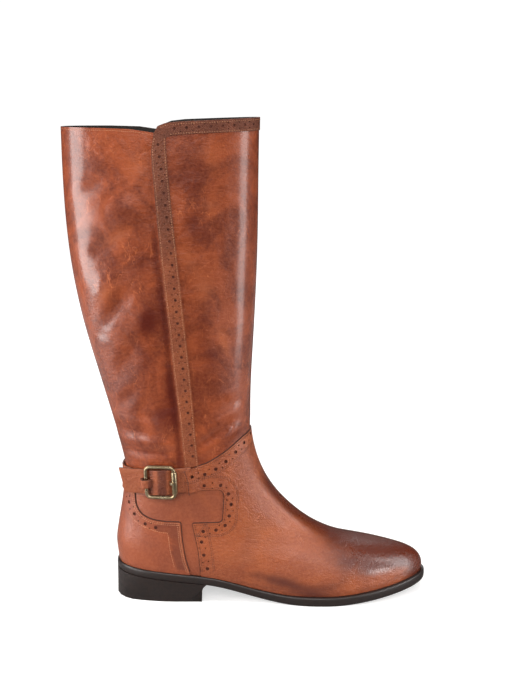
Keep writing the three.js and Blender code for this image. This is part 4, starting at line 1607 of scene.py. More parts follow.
@dataclass(frozen=True)
class BurnishAndShade:
    """Where the leathers are darkened over a stretch, by burnish and by painted shade, each from the start to
    the end of a soft rise.
    """

    ridge_turn: Row = (0.25, 0.95)  # of the normal's y
    ridge_start: Row = (58, 100)
    top_turn: Row = (0.12, 0.62)  # of the normal's z
    top_start: Row = (120, 185)
    top_end: Row = (100, 135)
    top: float = 0.9
    toe_turn: Row = (-0.1, 0.5)  # of the normal's z
    toe_start: Row = (150, 238)
    toe: float = 0.4
    tip_start: Row = (214, 240)
    tip: float = 0.6
    edge_width: Row = (1.0, 5.0)
    edge: float = 0.3
    foot_height: float = 160.0
    front_patch: float = 0.5
    # painted shade on the shaft behind the strip, where its rear panel dips under it
    shade: float = 0.6
    shade_place: float = 3.5  # behind the strip's rear edge, and as wide
    shade_end: Row = (318, 350)
    strip_start: Row = (285, 340)
    strip_range: Row = (-0.1, 0.65)

    def foot(self, points: np.ndarray, normals: np.ndarray) -> np.ndarray:
        """Darkens the foot's top, toe and lower edge.

        Args:
            points: Rows of x, y and z in millimetres.
            normals: The normal at each one.

        Returns:
            How stained each point is.
        """
        x, _, z = points.T
        ridge = (1 - smooth(*self.ridge_turn, np.abs(normals[:, 1]))) * smooth(*self.ridge_start, x)
        top = np.maximum(ridge, smooth(*self.top_turn, normals[:, 2]) * smooth(*self.top_start, x)) * self.top
        toe = smooth(*self.toe_start, x) * smooth(*self.toe_turn, normals[:, 2]) * self.toe
        tip = smooth(*self.tip_start, x) * self.tip
        edge = (1 - smooth(*self.edge_width, z - np.interp(x, *zip(*SOLE_TOP)))) * self.edge
        return (top * (1 - smooth(*self.top_end, z)) + toe + tip + edge) * (z < self.foot_height)

    def patch(self, points: np.ndarray) -> np.ndarray:
        """Darkens the patch down the counter's front edge, at rows of x, y and z."""
        x, y, z = points.T
        return contains(COUNTER_PATCH, x, z) * (y < 0) * self.front_patch

    def beside_strip(self, points: np.ndarray) -> np.ndarray:
        """Paints shade on the shaft behind the strip, where its rear panel dips under the strip.

        Args:
            points: Rows of x, y and z in millimetres.

        Returns:
            How stained each point is.
        """
        x, y, z = points.T
        away = (x - np.interp(z, *zip(*STRIP_REAR)) + self.shade_place) / self.shade_place
        return np.exp(-(away ** 2)) * (y < 0) * self.shade * (1 - smooth(*self.shade_end, z))

    def strip(self, points: np.ndarray) -> np.ndarray:
        """Darkens the strip towards the collar, at rows of x, y and z."""
        low, high = self.strip_range
        return low + (high - low) * smooth(*self.strip_start, points[:, 2])


@dataclass
class Uppers:
    """The leathers of leg and foot: shaft, quarter, vamp, counter, brogued strip, collar band and lining."""

    skin: Skin
    wardrobe: Wardrobe
    burnish_and_shade: BurnishAndShade = BurnishAndShade()
    overlay: float = 1.15
    leather: float = 1.3
    lining: float = 0.8
    lining_gap: float = 0.05
    tuck: float = 9.0  # how far the shaft goes down under the vamp
    far: float = 400.0
    # radius of the painted shadow line at the foot of each overlay's edge
    edge_shadow: float = 0.35
    strap_front: float = 31.0
    strap_lift: float = 2.75
    foot_hole: float = 1.55
    foot_dot: float = 0.6
    strip_thickness: float = 0.7
    strip_pitch: float = 9.85
    seam_pitch: float = 10.3
    cutter: Cutter = field(init=False)
    outer_seam: list[Spot] = field(init=False)
    inner_seam: list[Spot] = field(init=False)
    window: list[Spot] = field(init=False)
    counter: list[Spot] = field(init=False)

    def build(self) -> None:
        """Makes every leather and the lining."""
        self.cutter = Cutter(self.skin)
        self.cutter.prepare()
        self.trim_collar()
        self.cutter.skin = self.skin
        self.lay_lines()
        self.base_pieces()
        self.vamp_piece()
        self.counter_piece()
        self.strip_piece()
        self.lining_piece()

    def trim_collar(self) -> None:
        """Cuts the skin along the collar's edge."""
        below = [*COLLAR_LINE, (self.far, -self.far), (-self.far, -self.far), (-self.far, COLLAR_LINE[0][1])]
        trimmed = self.cutter.cut("trimmed skin", Pattern(below, below))
        focus(trimmed)
        bpy.ops.object.shade_smooth()
        self.skin = Skin(trimmed)

    def lay_lines(self) -> None:
        """Lays the seams that several pieces follow on the skin."""
        skin = self.skin
        seam = [p for p in SEAM_LINE if p[0] < 84.6]
        inner_seam = [p for p in seam if p[0] > zip_x(125) + ZIP_OPEN]
        self.outer_seam = skin.line(Side.OUTER, seam)
        self.inner_seam = skin.line(Side.INNER, inner_seam[::-1])
        self.window = skin.line(Side.OUTER, rounded(WINDOW)[1:-1])
        counter = [*spline(COUNTER_TOP)[:-1], *rounded(COUNTER_FRONT)]
        self.counter = skin.line(Side.OUTER, counter[:-1])

    def vamp_pattern(self) -> Pattern:
        """Outlines the vamp.

        Returns:
            Its pattern.
        """
        far = self.far
        front = [(far, -far), (far, far), (130, far), (88.5, 155.2)]
        outer = [*SEAM_LINE[::-1], (29.0, 115.3), *rounded(WINDOW), (42, -far), *front]
        edge = [(zip_x(z) + ZIP_OPEN, z) for z in range(120, 44, -6)]
        inner = [*[p for p in SEAM_LINE[::-1] if p[0] > zip_x(124) + ZIP_OPEN], *edge,
                 (36.5, 41.0), (38.2, 30), (40, -far), *front]
        return Pattern(outer, inner)

    def counter_pattern(self) -> Pattern:
        """Outlines the counter.

        Returns:
            Its pattern.
        """
        far = self.far
        outer = [*spline(COUNTER_TOP)[:-1], *rounded(COUNTER_FRONT), (36, -far), (-far, -far), (-far, 114)]
        edge = [(zip_x(z) - ZIP_OPEN, z) for z in range(114, 44, -6)]
        inner = [*edge, (35.6, 41.0), (37.4, 30), (39.3, -far), (-far, -far), (-far, 114)]
        return Pattern(outer, inner)

    def strip_pattern(self) -> Pattern:
        """Outlines the brogued strip and the collar band that it turns into.

        Returns:
            Their pattern.
        """
        left = [(table(STRIP_REAR, z), z) for z in np.linspace(125.6, 409, 24)]
        right = [(table(STRIP_FRONT, z), z) for z in np.linspace(404, 128, 24)]
        corner = (table(STRIP_FRONT, 406), 408.4, 3.5)
        under = rounded([(table(STRIP_FRONT, 400), 400, 0), corner, (40, 410.2, 0), (130, 413.4, 0)])
        outer = [*left, (table(STRIP_REAR, 410), 440), (130, 440), *under[::-1], *right]
        inner_edge = zip_x(412) + ZIP_OPEN
        inner = [(inner_edge, 440), (130, 440), (130, 413.4), (40, 410.2), (inner_edge, 408.2)]
        return Pattern(outer, inner)

    def base_pieces(self) -> None:
        """Makes the shaft and the quarter, which lie under the overlays."""
        far, tuck = self.far, self.tuck
        seam = [(x, z - tuck) for x, z in SEAM_LINE]
        line = [(-far, seam[0][1]), *seam, (far, seam[-1][1])]
        above, below = [*line, (far, far * 2), (-far, far * 2)], [*line, (far, -far), (-far, -far)]
        shaft = self.cutter.cut("shaft_leather", Pattern(above, above))
        quarter = self.cutter.cut("quarter_leather", Pattern(below, below))
        covers = (self.vamp_pattern(), self.counter_pattern(), self.strip_pattern())
        for piece, finish, node in ((shaft, Finish.SHAFT, "shaft"), (quarter, Finish.QUARTER, "upper")):
            self.wardrobe.dress(piece, finish, Finish.RAW_EDGE, Finish.BACKING)
            self.hide_backing(piece, covers)
            thicken(piece, self.leather, outward=False)
            self.stain_and_shade_leather(piece)
            mount(piece, "leather", node)

    def stain_and_shade_leather(self, piece: Piece) -> None:
        """Stains a leather, burnishes the foot's top and toe, and paints shade behind the strip and along two
        creases above the strap.

        Args:
            piece: The leather.
        """
        points, darkening = point_array(piece) / MM, self.burnish_and_shade
        amounts = darkening.foot(points, normal_array(piece))
        if piece.name == "brogued_strip":
            amounts = amounts + darkening.strip(points)
        else:
            amounts = amounts + sum(oval.weight(points) for oval in (*SHAFT_STAINS_AND_SHADE, *FOOT_STAINS))
        if piece.name == "counter":
            amounts = amounts + darkening.patch(points)
        if piece.name == "shaft_leather":
            amounts = amounts + darkening.beside_strip(points)
        stain_and_shading(piece, amounts)

    def hide_backing(self, piece: Piece, covers: Sequence[Pattern]) -> None:
        """Gives a leather its darker backing where an overlay covers a whole face of it, which also stands in
        for painted shade at the bottoms of the holes.

        Args:
            piece: The leather.
            covers: The overlays' patterns.
        """
        points = point_array(piece)
        under = [cover.covers(points) for cover in covers]
        for face in piece.data.polygons:
            corners = list(face.vertices)
            if any(cover[corners].all() for cover in under):
                face.material_index = 2

    def overlay_piece(self, name: str, pattern: Pattern, rows: Sequence[HoleRow], finish: Finish) -> Piece:
        """Cuts an overlay with its brogueing.

        Args:
            name: The piece's name.
            pattern: Its outlines.
            rows: Its rows of holes.
            finish: Its leather.

        Returns:
            The overlay, with no thickness yet.
        """
        holes = [hole for row in rows for hole in row.holes(self.skin)]
        inside = pattern.covers(np.array([stop.spot.point for stop, _ in holes]))
        holes = [hole for hole, kept in zip(holes, inside) if kept]
        sheet = self.cutter.cut(name, pattern, holes)
        return self.wardrobe.dress(sheet, finish, Finish.RAW_EDGE)

    def vamp_piece(self) -> None:
        """Makes the vamp, which runs up over the strap's front end."""
        inner = self.skin.shifted(self.inner_seam, -6.6)
        lines = (
            self.skin.line(Side.OUTER, VAMP_HOLES),
            [stop.spot for stop in self.skin.route(inner, self.seam_pitch, 4.0)],
            self.skin.line(Side.OUTER, LOOP_HOLES),
        )
        rows = [HoleRow(line, self.foot_hole, self.foot_dot) for line in lines]
        vamp = self.overlay_piece("vamp", self.vamp_pattern(), rows, Finish.VAMP)
        push(vamp, self.lift(point_array(vamp) / MM))
        thicken(vamp, self.overlay)
        self.stain_and_shade_leather(vamp)
        mount(vamp, "leather")

    def lift(self, points: np.ndarray) -> np.ndarray:
        """Works out how far the vamp rises over the strap's front end.

        Args:
            points: Rows of x, y and z in millimetres.

        Returns:
            The rise at each point, in millimetres.
        """
        over = 1 - smooth(self.strap_front + 0.5, self.strap_front + 12, points[:, 0])
        return over * smooth(97, 102, points[:, 2]) * (points[:, 1] < 0) * self.strap_lift

    def counter_piece(self) -> None:
        """Makes the counter round the heel."""
        row = HoleRow(self.skin.line(Side.OUTER, COUNTER_HOLES), self.foot_hole, self.foot_dot)
        counter = self.overlay_piece("counter", self.counter_pattern(), (row,), Finish.COUNTER)
        thicken(counter, self.overlay)
        self.stain_and_shade_leather(counter)
        mount(counter, "leather")

    def strip_piece(self) -> None:
        """Makes the brogued strip down the outer side and the band along the front of the collar."""
        skin = self.skin
        down = skin.line(Side.OUTER, [(table(STRIP_HOLES, z), z) for z in np.linspace(401.6, 130, 60)])
        along = skin.line(Side.OUTER, [(x, height_on(COLLAR_LINE, x) - 5.2) for x in np.linspace(24, 88, 20)])
        back = skin.line(Side.INNER, [(x, height_on(COLLAR_LINE, x) - 5.2) for x in np.linspace(88, -8, 26)])
        rows = [HoleRow([stop.spot for stop in skin.route(line, self.strip_pitch)])
                for line in (down, along + back)]
        strip = self.overlay_piece("brogued_strip", self.strip_pattern(), rows, Finish.BROGUED)
        thicken(strip, self.strip_thickness)
        self.stain_and_shade_leather(strip)
        mount(strip, "leather")

    def lining_piece(self) -> None:
        """Makes the lining, one layer inside the leathers."""
        lining = duplicate(self.skin.piece, "lining")
        push(lining, np.full(len(lining.data.vertices), -self.leather - self.lining_gap))
        self.wardrobe.dress(lining, Finish.LINING, Finish.LINING)
        thicken(lining, self.lining, outward=False)
        mount(lining, "lining")


# ---- Stitching ----
@dataclass
class Stitching:
    """Rows of stitches, each a small pill of thread pulled into the leather."""

    wardrobe: Wardrobe
    length: float = 1.0
    width: float = 0.58
    height: float = 0.36
    template: Piece | None = None
    sewn: dict[Finish, list[Piece]] = field(default_factory=dict)

    def prepare(self) -> None:
        """Models one stitch."""
        bpy.ops.object.select_all(action="DESELECT")
        bpy.ops.mesh.primitive_uv_sphere_add(
            segments=6, ring_count=4, radius=0.5 * MM, rotation=(0, math.pi / 2, 0)
        )
        self.template = settle(bpy.context.view_layer.objects.active)
        self.template.data.transform(Matrix.Diagonal((self.length, self.width, self.height, 1.0)))
        focus(self.template)
        bpy.ops.object.shade_smooth()

    def sew(self, skin: Skin, spots: Sequence[Spot], pitch: float, height: Callable[[Vector], float],
            size: float = 1.0, thread: Finish = Finish.THREAD) -> None:
        """Sews a row.

        Args:
            skin: What it is sewn on.
            spots: Its line.
            pitch: Length from stitch to stitch.
            height: Gives how far the leather's face is above the skin at a point.
            size: The stitches' size against the usual one.
            thread: The thread.
        """
        for stop in skin.route(spots, pitch, pitch / 2):
            stitch = duplicate(self.template, "stitch")
            place = stop.matrix(height(stop.spot.point))
            stitch.data.transform(place @ Matrix.Scale(size, 4))
            self.sewn.setdefault(thread, []).append(stitch)

    def finish(self) -> None:
        """Joins the stitches of each thread into one piece."""
        for thread, stitches in self.sewn.items():
            log.info("%s: %d stitches", thread.value.name, len(stitches))
            piece = join(f"stitches_{thread.name.lower()}", stitches)
            self.wardrobe.dress(piece, thread)
            mount(piece, "thread")
        bpy.data.objects.remove(self.template)


# ---- Ankle straps ----
@dataclass
class Straps:
    """The buckle strap with its slit bridge and free tail, and the strap behind the ankle."""

    plain: Skin
    wardrobe: Wardrobe
    width: float = 22.3
    thickness: float = 1.9
    gap: float = 0.3
    middle: float = 113.7
    slope: float = 0.09
    buckle_x: float = 7.8
    front: float = 33.5
    tail_start: float = -6.0
    tail_length: float = 24.4
    tail_slant: float = 5.5
    slot: tuple[float, float, float] = (-8.2, 0.2, 3.6)
    bridge_half: float = 3.45
    # painted highlight down the strap's bulge in the buckle's window, and painted shade on the strap inside
    # the frame
    highlight_x: float = 2.6
    highlight_width: float = 2.2
    shine: float = 0.8
    frame_shade_rise: Row = (-4.5, -2.5)
    frame_shade_fall: Row = (11.5, 13.5)
    frame_shade: float = 0.75
    rises: tuple[Row, ...] = (
        (-31, 0), (-2.6, 0), (0.5, 2.2), (4.5, 3.1), (9.5, 3.1), (13.5, 2.6), (17.4, 0), (34, 0),
    )
    bridge_rises: tuple[Row, ...] = (
        (-9.8, 0.2), (-8.4, 1.0), (-7.2, 3.6), (-6.0, 6.5), (-4.6, 7.9), (-2.6, 7.2), (0.5, 3.0), (2.2, 2.4),
    )
    round_start: float = 0.62
    round_end: float = -1.13
    round_middle: float = 113.8
    round_droop: float = 3.5
    round_thickness: float = 1.8
    tuck_turn: Row = (0.4, 0.6)
    tuck: float = 0.25  # how far the rear strap sinks under the buckle strap's tail
    tail_direction: Vector = field(init=False)

    def strap_point(self, x: float, up: float, rise: float) -> Vector:
        """Finds a point of the buckle strap's inner face.

        Args:
            x: Length along the boot.
            up: Distance above the strap's middle line.
            rise: Distance off the skin beyond the usual gap.

        Returns:
            The point, in metres.
        """
        on_skin = max(x, self.tail_start)
        middle = self.middle + self.slope * (on_skin - self.buckle_x)
        point = self.plain.beside(Side.OUTER, on_skin, middle + up).raised(self.gap + rise)
        return point + self.tail_direction * min(0.0, x - self.tail_start) * MM

    def find_direction(self) -> None:
        """Takes the tail's direction from the buckle frame's own plane."""
        points = point_array(bpy.data.objects["buckle_frame"])
        normal = np.linalg.svd(points - points.mean(0), full_matrices=False)[2][2]
        along = Vector((normal[1], -normal[0], 0.0)).normalized()
        self.tail_direction = along if along.x > 0 else -along

    def band(
        self, name: str, columns: Sequence[float], rows: Sequence[float],
        place: Callable[[float, float], Vector], gaps: Callable[[float, float], bool] | None = None,
    ) -> Piece:
        """Bends a flat grid into a band.

        Args:
            name: The band's name.
            columns: Places along it.
            rows: Places across it.
            place: Gives a column's and row's point, in metres.
            gaps: Tells which cells are cut out, by their middle.

        Returns:
            The band, with no thickness yet.
        """
        bpy.ops.object.select_all(action="DESELECT")
        bpy.ops.mesh.primitive_grid_add(
            x_subdivisions=len(columns) - 1, y_subdivisions=len(rows) - 1, size=2.0
        )
        band = bpy.context.view_layer.objects.active
        band.name = band.data.name = name
        mesh = band.data
        cells = {vertex.index: (round((vertex.co.x + 1) / 2 * (len(columns) - 1)),
                                round((vertex.co.y + 1) / 2 * (len(rows) - 1))) for vertex in mesh.vertices}
        for vertex in mesh.vertices:
            column, row = cells[vertex.index]
            vertex.co = (columns[column], rows[row], 0.0)
        if gaps:
            delete_faces(band, np.array([gaps(face.center.x, face.center.y) for face in mesh.polygons]))
        for vertex in mesh.vertices:
            vertex.co = place(vertex.co.x, vertex.co.y)
        mesh.update()
        return band

    def finish_band(self, band: Piece, thickness: float, round_off: float = 0.45) -> Piece:
        """Gives a band its thickness and rounds its edges off.

        Args:
            band: The band.
            thickness: How thick it gets.
            round_off: Width of the rounding.

        Returns:
            The same piece.
        """
        modify(band, "SOLIDIFY", thickness=thickness * MM, offset=1.0, use_rim=True, material_offset_rim=1)
        soften(band, round_off, 2, 50)
        return smooth_shade(band, 60.0)

    def build(self) -> None:
        """Makes both straps."""
        self.find_direction()
        half = self.width / 2
        low, high, slot_half = self.slot
        tail_end = self.tail_start - self.tail_length
        columns = divided((tail_end, low, high, self.front), (14, 12, 35))
        rows = divided((-half, -slot_half, slot_half, half), (4, 4, 4))

        def place(x: float, up: float) -> Vector:
            """Lays the strap, with its tail cut at a slant."""
            if x < self.tail_start:
                slant = self.tail_slant * (half - up) / self.width
                x = self.tail_start + (x - self.tail_start) * (1 - slant / self.tail_length)
            return self.strap_point(x, up, table(self.rises, x))

        strap = self.band("strap_main", columns, rows, place,
                          lambda x, up: low < x < high and abs(up) < slot_half)
        first, last = self.bridge_rises[0][0], self.bridge_rises[-1][0]
        bridge = self.band(
            "bridge", divided((first, last), (25,)), divided((-self.bridge_half, self.bridge_half), (4,)),
            lambda x, up: self.strap_point(x, up, table(self.bridge_rises, x)),
        )
        for band in (strap, bridge):
            self.flip_outward(band)
            self.wardrobe.dress(band, Finish.STRAP, Finish.STRAP_EDGE)
        self.finish_band(strap, self.thickness)
        self.finish_band(bridge, self.thickness)
        strap = join("buckle_strap", [strap, bridge])
        # paints shade on the strap inside the buckle frame and a highlight down the middle of its bulge
        x = point_array(strap)[:, 0] / MM
        framed = smooth(*self.frame_shade_rise, x) * (1 - smooth(*self.frame_shade_fall, x))
        shine = np.exp(-(((x - self.highlight_x) / self.highlight_width) ** 2))
        stain_and_shading(strap, framed * (self.frame_shade - self.shine * shine))
        mount(strap, "leather", "strap")

        turns = np.linspace(self.round_start, self.round_end, 96)

        def ring(turn: float, up: float) -> Vector:
            """Lays the strap that runs round behind the ankle."""
            middle = self.round_middle - self.round_droop * math.cos(turn) ** 2
            thin = self.tuck * smooth(*self.tuck_turn, turn)
            return self.plain.around(turn, middle + up).raised(self.gap - thin)

        back = self.band("ankle_strap", turns[::-1], np.linspace(-half, half, 9), ring)
        self.flip_outward(back)
        self.wardrobe.dress(back, Finish.STRAP, Finish.STRAP_EDGE)
        self.finish_band(back, self.round_thickness)
        mount(back, "leather", "strap_back")

    def flip_outward(self, band: Piece) -> None:
        """Makes a band's faces look out of the boot.

        Args:
            band: The band.
        """
        mesh = band.data
        middle = Vector((self.plain.ankle_x * MM, 0, 0))
        face = mesh.polygons[len(mesh.polygons) // 2]
        away = face.center - middle
        away.z = 0
        if face.normal.dot(away) < 0:
            with editing(band):
                bpy.ops.mesh.select_all(action="SELECT")
                bpy.ops.mesh.flip_normals()


# ---- Buckle, zip and sole ----
@dataclass
class Buckle:
    """The buckle's frame, roller and prong, smoothed from the frame's own solids."""

    wardrobe: Wardrobe
    swell: float = 0.1

    def build(self) -> None:
        """Makes the three pieces."""
        wire = node_copy("buckle_frame", "buckle_wire")
        make_quads(wire)
        push(wire, np.full(len(wire.data.vertices), self.swell))
        subdivide(wire, 2)
        roller = node_copy("buckle_roller", "buckle_sleeve")
        prong = node_copy("buckle_prong", "buckle_tongue")
        for piece, width in ((roller, 0.35), (prong, 0.3)):
            dissolve_flat(piece)
            soften(piece, width, 3, 40)
        for piece, node in ((wire, "buckle_frame"), (roller, "buckle_roller"), (prong, "buckle_prong")):
            self.wardrobe.dress(piece, Finish.BRASS)
            smooth_shade(piece, 50.0)
            mount(piece, "buckle_metal", node)


@dataclass
class Zip:
    """The closed zip up the inner side, with its tape, teeth, slider and pull."""

    skin: Skin
    straps: Straps
    wardrobe: Wardrobe
    low: float = 44.0
    high: float = 408.0
    pitch: float = 1.7
    tooth: tuple[float, float, float] = (2.3, 1.05, 1.0)
    tooth_aside: float = 0.75
    round_off: float = 0.22
    tape_half: float = 6.4
    tape_thickness: float = 0.5

    def build(self) -> None:
        """Makes the tape, the teeth, the slider and the pull."""
        heights = np.linspace(self.low - 2, self.high + 2, 90)
        tape = self.straps.band(
            "zip_tape", heights, divided((-self.tape_half, self.tape_half), (6,)),
            lambda z, across: self.skin.beside(Side.INNER, zip_x(z) + across, z).raised(0.05),
        )
        self.straps.flip_outward(tape)
        self.wardrobe.dress(tape, Finish.TAPE, Finish.TAPE)
        modify(tape, "SOLIDIFY", thickness=self.tape_thickness * MM, offset=1.0)
        smooth_shade(tape)
        mount(tape, "zip_chain")
        self.teeth()
        for node, name, body in (("zip_slider", "zip_runner", "boot"), ("zip_pull", "zip_tab", "pull")):
            piece = node_copy(node, name)
            dissolve_flat(piece)
            soften(piece, self.round_off, 2, 40)
            self.wardrobe.dress(piece, Finish.BRASS)
            smooth_shade(piece, 50.0)
            mount(piece, "buckle_metal", node, body=body)

    def teeth(self) -> None:
        """Models one tooth and sets copies of it up both sides of the chain."""
        bpy.ops.object.select_all(action="DESELECT")
        bpy.ops.mesh.primitive_cube_add(size=MM)
        tooth = bpy.context.view_layer.objects.active
        tooth.data.transform(Matrix.Diagonal((*self.tooth, 1.0)))
        modify(tooth, "BEVEL", width=self.round_off * MM, segments=1, limit_method="NONE")
        spots = [self.skin.beside(Side.INNER, zip_x(z), z) for z in np.linspace(self.low, self.high, 140)]
        copies = []
        for number, stop in enumerate(self.skin.route(spots, self.pitch / 2, 0.4)):
            side = 1 if number % 2 else -1
            copy = duplicate(tooth, "tooth")
            place = stop.matrix(1.0) @ Matrix.Rotation(math.pi / 2, 4, "Z")
            copy.data.transform(place @ Matrix.Translation((side * self.tooth_aside * MM, 0, 0)))
            copies.append(copy)
        teeth = join("zip_teeth", copies)
        self.wardrobe.dress(teeth, Finish.ZIP)
        smooth_shade(teeth, 30.0)
        mount(teeth, "zip_chain", "zip")
        bpy.data.objects.remove(tooth)


@dataclass
class Sole:
    """The outsole, heel and insole."""

    wardrobe: Wardrobe
    rim: float = 0.35
    flat: float = 0.8  # the normal's z from which a face is level
    downward: float = -0.9
    lift: float = 1.016  # stretch that brings the heel up against the outsole

    def build(self) -> None:
        """Makes the three pieces."""
        outsole = self.slab("outsole", "sole")
        self.dress_sole(outsole)
        mount(outsole, "sole_edge", "outsole")
        heel = node_copy("heel", "heel_block")
        heel.data.transform(Matrix.Diagonal((1.0, 1.0, self.lift, 1.0)))
        dissolve_flat(heel, 0.5)
        self.dress_sole(heel)
        smooth_shade(heel, 35.0)
        mount(heel, "sole_edge", "heel")
        insole = self.slab("insole", "insole_sock")
        self.wardrobe.dress(insole, Finish.INSOLE)
        mount(insole, "insole", "insole")

    def dress_sole(self, piece: Piece) -> None:
        """Dresses a sole piece, with the tread's finish where it looks down.

        Args:
            piece: The piece.
        """
        self.wardrobe.dress(piece, Finish.SOLE, Finish.TREAD)
        for face in piece.data.polygons:
            face.material_index = 1 if face.normal.z < self.downward else 0

    def slab(self, node: str, name: str) -> Piece:
        """Smooths a flat slab of the frame while its edge stays crisp.

        Args:
            node: The slab's node.
            name: The new piece's name.

        Returns:
            The slab.
        """
        slab = node_copy(node, name)
        for sign in (1, -1):
            pick_faces(slab, lambda face, sign=sign: face.normal.z * sign > self.flat)
            with editing(slab):
                bpy.ops.mesh.inset(thickness=self.rim * MM, depth=0.0)
        make_quads(slab)
        subdivide(slab, 2)
        return smooth_shade(slab, 50.0)


# ---- Studio ----
@dataclass(frozen=True)
class Lamp:
    """A soft box: where it stands, what it looks at, its size, its power and how wide it shines."""

    name: str
    place: tuple[float, float, float]
    target: tuple[float, float, float]
    size: tuple[float, float]
    power: float
    spread: float = 180.0


@dataclass
class Studio:
    """The floor, backdrop, lights and camera."""

    camera_place: tuple[float, float, float] = (93.9, -1000.0, 446.4)
    pitch: float = 12.5
    lens: float = 60.7
    lamps: tuple[Lamp, ...] = (
        Lamp("left box", (-700, -220, 330), (0, 0, 220), (340, 900), 8.8),
        Lamp("right box", (830, -235, 340), (40, 0, 190), (260, 860), 4.6),
        Lamp("top box", (160, -250, 1500), (110, 0, 60), (900, 700), 9.0),
        Lamp("front box", (0, -1300, 1000), (60, 0, 120), (900, 650), 14.0),
        Lamp("back box", (60, 1300, 1100), (40, 0, 200), (900, 600), 9.0),
        Lamp("toe box", (900, -700, 220), (205, -35, 28), (260, 260), 0.13, spread=30.0),
        Lamp("heel box", (-430, -470, 125), (-15, -30, 50), (120, 240), 0.05, spread=30.0),
    )
    sky: float = 0.06
    near_glow: float = 0.58
    far_glow: float = 1.05
    glow_reach: Row = (0.4, 1.4)  # reaches are in metres
    near_bounce: float = 0.3
    side_bounce: float = 0.6
    far_bounce: float = 0.05
    near_reach: Row = (0.16, 0.42)
    side_reach: Row = (0.3, 0.5)
    middle: float = 0.07
    floor_color: Color = (0.6, 0.58, 0.57)
    white: tuple[float, ...] = (1.0, 1.0, 1.0, 1.0)

    def build(self) -> None:
        """Sets the studio up."""
        scene = bpy.context.scene
        camera = bpy.data.objects.new("camera", bpy.data.cameras.new("camera"))
        camera.data.lens = self.lens
        camera.data.sensor_width = 36.0
        camera.location = Vector(self.camera_place) * MM
        camera.rotation_euler = (math.radians(90 - self.pitch), 0, 0)
        camera.data.clip_end = 50.0
        scene.collection.objects.link(camera)
        scene.camera = camera
        for lamp in self.lamps:
            light = bpy.data.lights.new(lamp.name, "AREA")
            light.shape = "RECTANGLE"
            light.size, light.size_y = (side * MM for side in lamp.size)
            light.energy = lamp.power
            light.spread = math.radians(lamp.spread)
            holder = bpy.data.objects.new(lamp.name, light)
            holder.location = Vector(lamp.place) * MM
            aim = Vector(lamp.target) - Vector(lamp.place)
            holder.rotation_euler = aim.to_track_quat("-Z", "Y").to_euler()
            scene.collection.objects.link(holder)
        self.floor()
        world = bpy.data.worlds.new("studio")
        world.use_nodes = True
        net = Wiring(world.node_tree)
        seen = net.add("LightPath").outputs["Is Camera Ray"]
        strength = net.math("MULTIPLY_ADD", seen, self.far_glow - self.sky, self.sky)
        backdrop = world.node_tree.nodes["Background"]
        net.link(strength, backdrop.inputs["Strength"])
        backdrop.inputs["Color"].default_value = self.white
        scene.world = world
        scene.view_settings.view_transform = "Standard"

    def floor(self) -> None:
        """Lays a pale, faintly glowing floor that runs out of sight."""
        bpy.ops.object.select_all(action="DESELECT")
        bpy.ops.mesh.primitive_plane_add(size=24.0)
        floor = bpy.context.view_layer.objects.active
        floor.name = "floor"
        material, net, shader = start_material("floor")
        seen = net.add("LightPath").outputs["Is Camera Ray"]
        away = net.add("VectorMath", operation="LENGTH")
        net.link(net.add("TexCoord").outputs["Object"], away.inputs[0])
        across = net.add("SeparateXYZ")
        net.link(net.add("TexCoord").outputs["Object"], across.inputs[0])
        aside = net.math("ABSOLUTE", net.math("SUBTRACT", across.outputs[0], self.middle))
        near = net.spread(away.outputs["Value"], *self.near_reach, self.near_bounce, self.far_bounce)
        bounce = net.math("MAXIMUM", near, net.spread(aside, *self.side_reach, 0.0, self.side_bounce))
        net.link(net.mix(seen, bounce, self.floor_color), shader.inputs["Base Color"])
        glow = net.spread(away.outputs["Value"], *self.glow_reach, self.near_glow, self.far_glow)
        net.link(net.math("MULTIPLY", seen, glow), shader.inputs["Emission Strength"])
        shader.inputs["Roughness"].default_value = 0.9
        shader.inputs["Specular IOR Level"].default_value = 0.0
        shader.inputs["Emission Color"].default_value = self.white
        dress(floor, material)


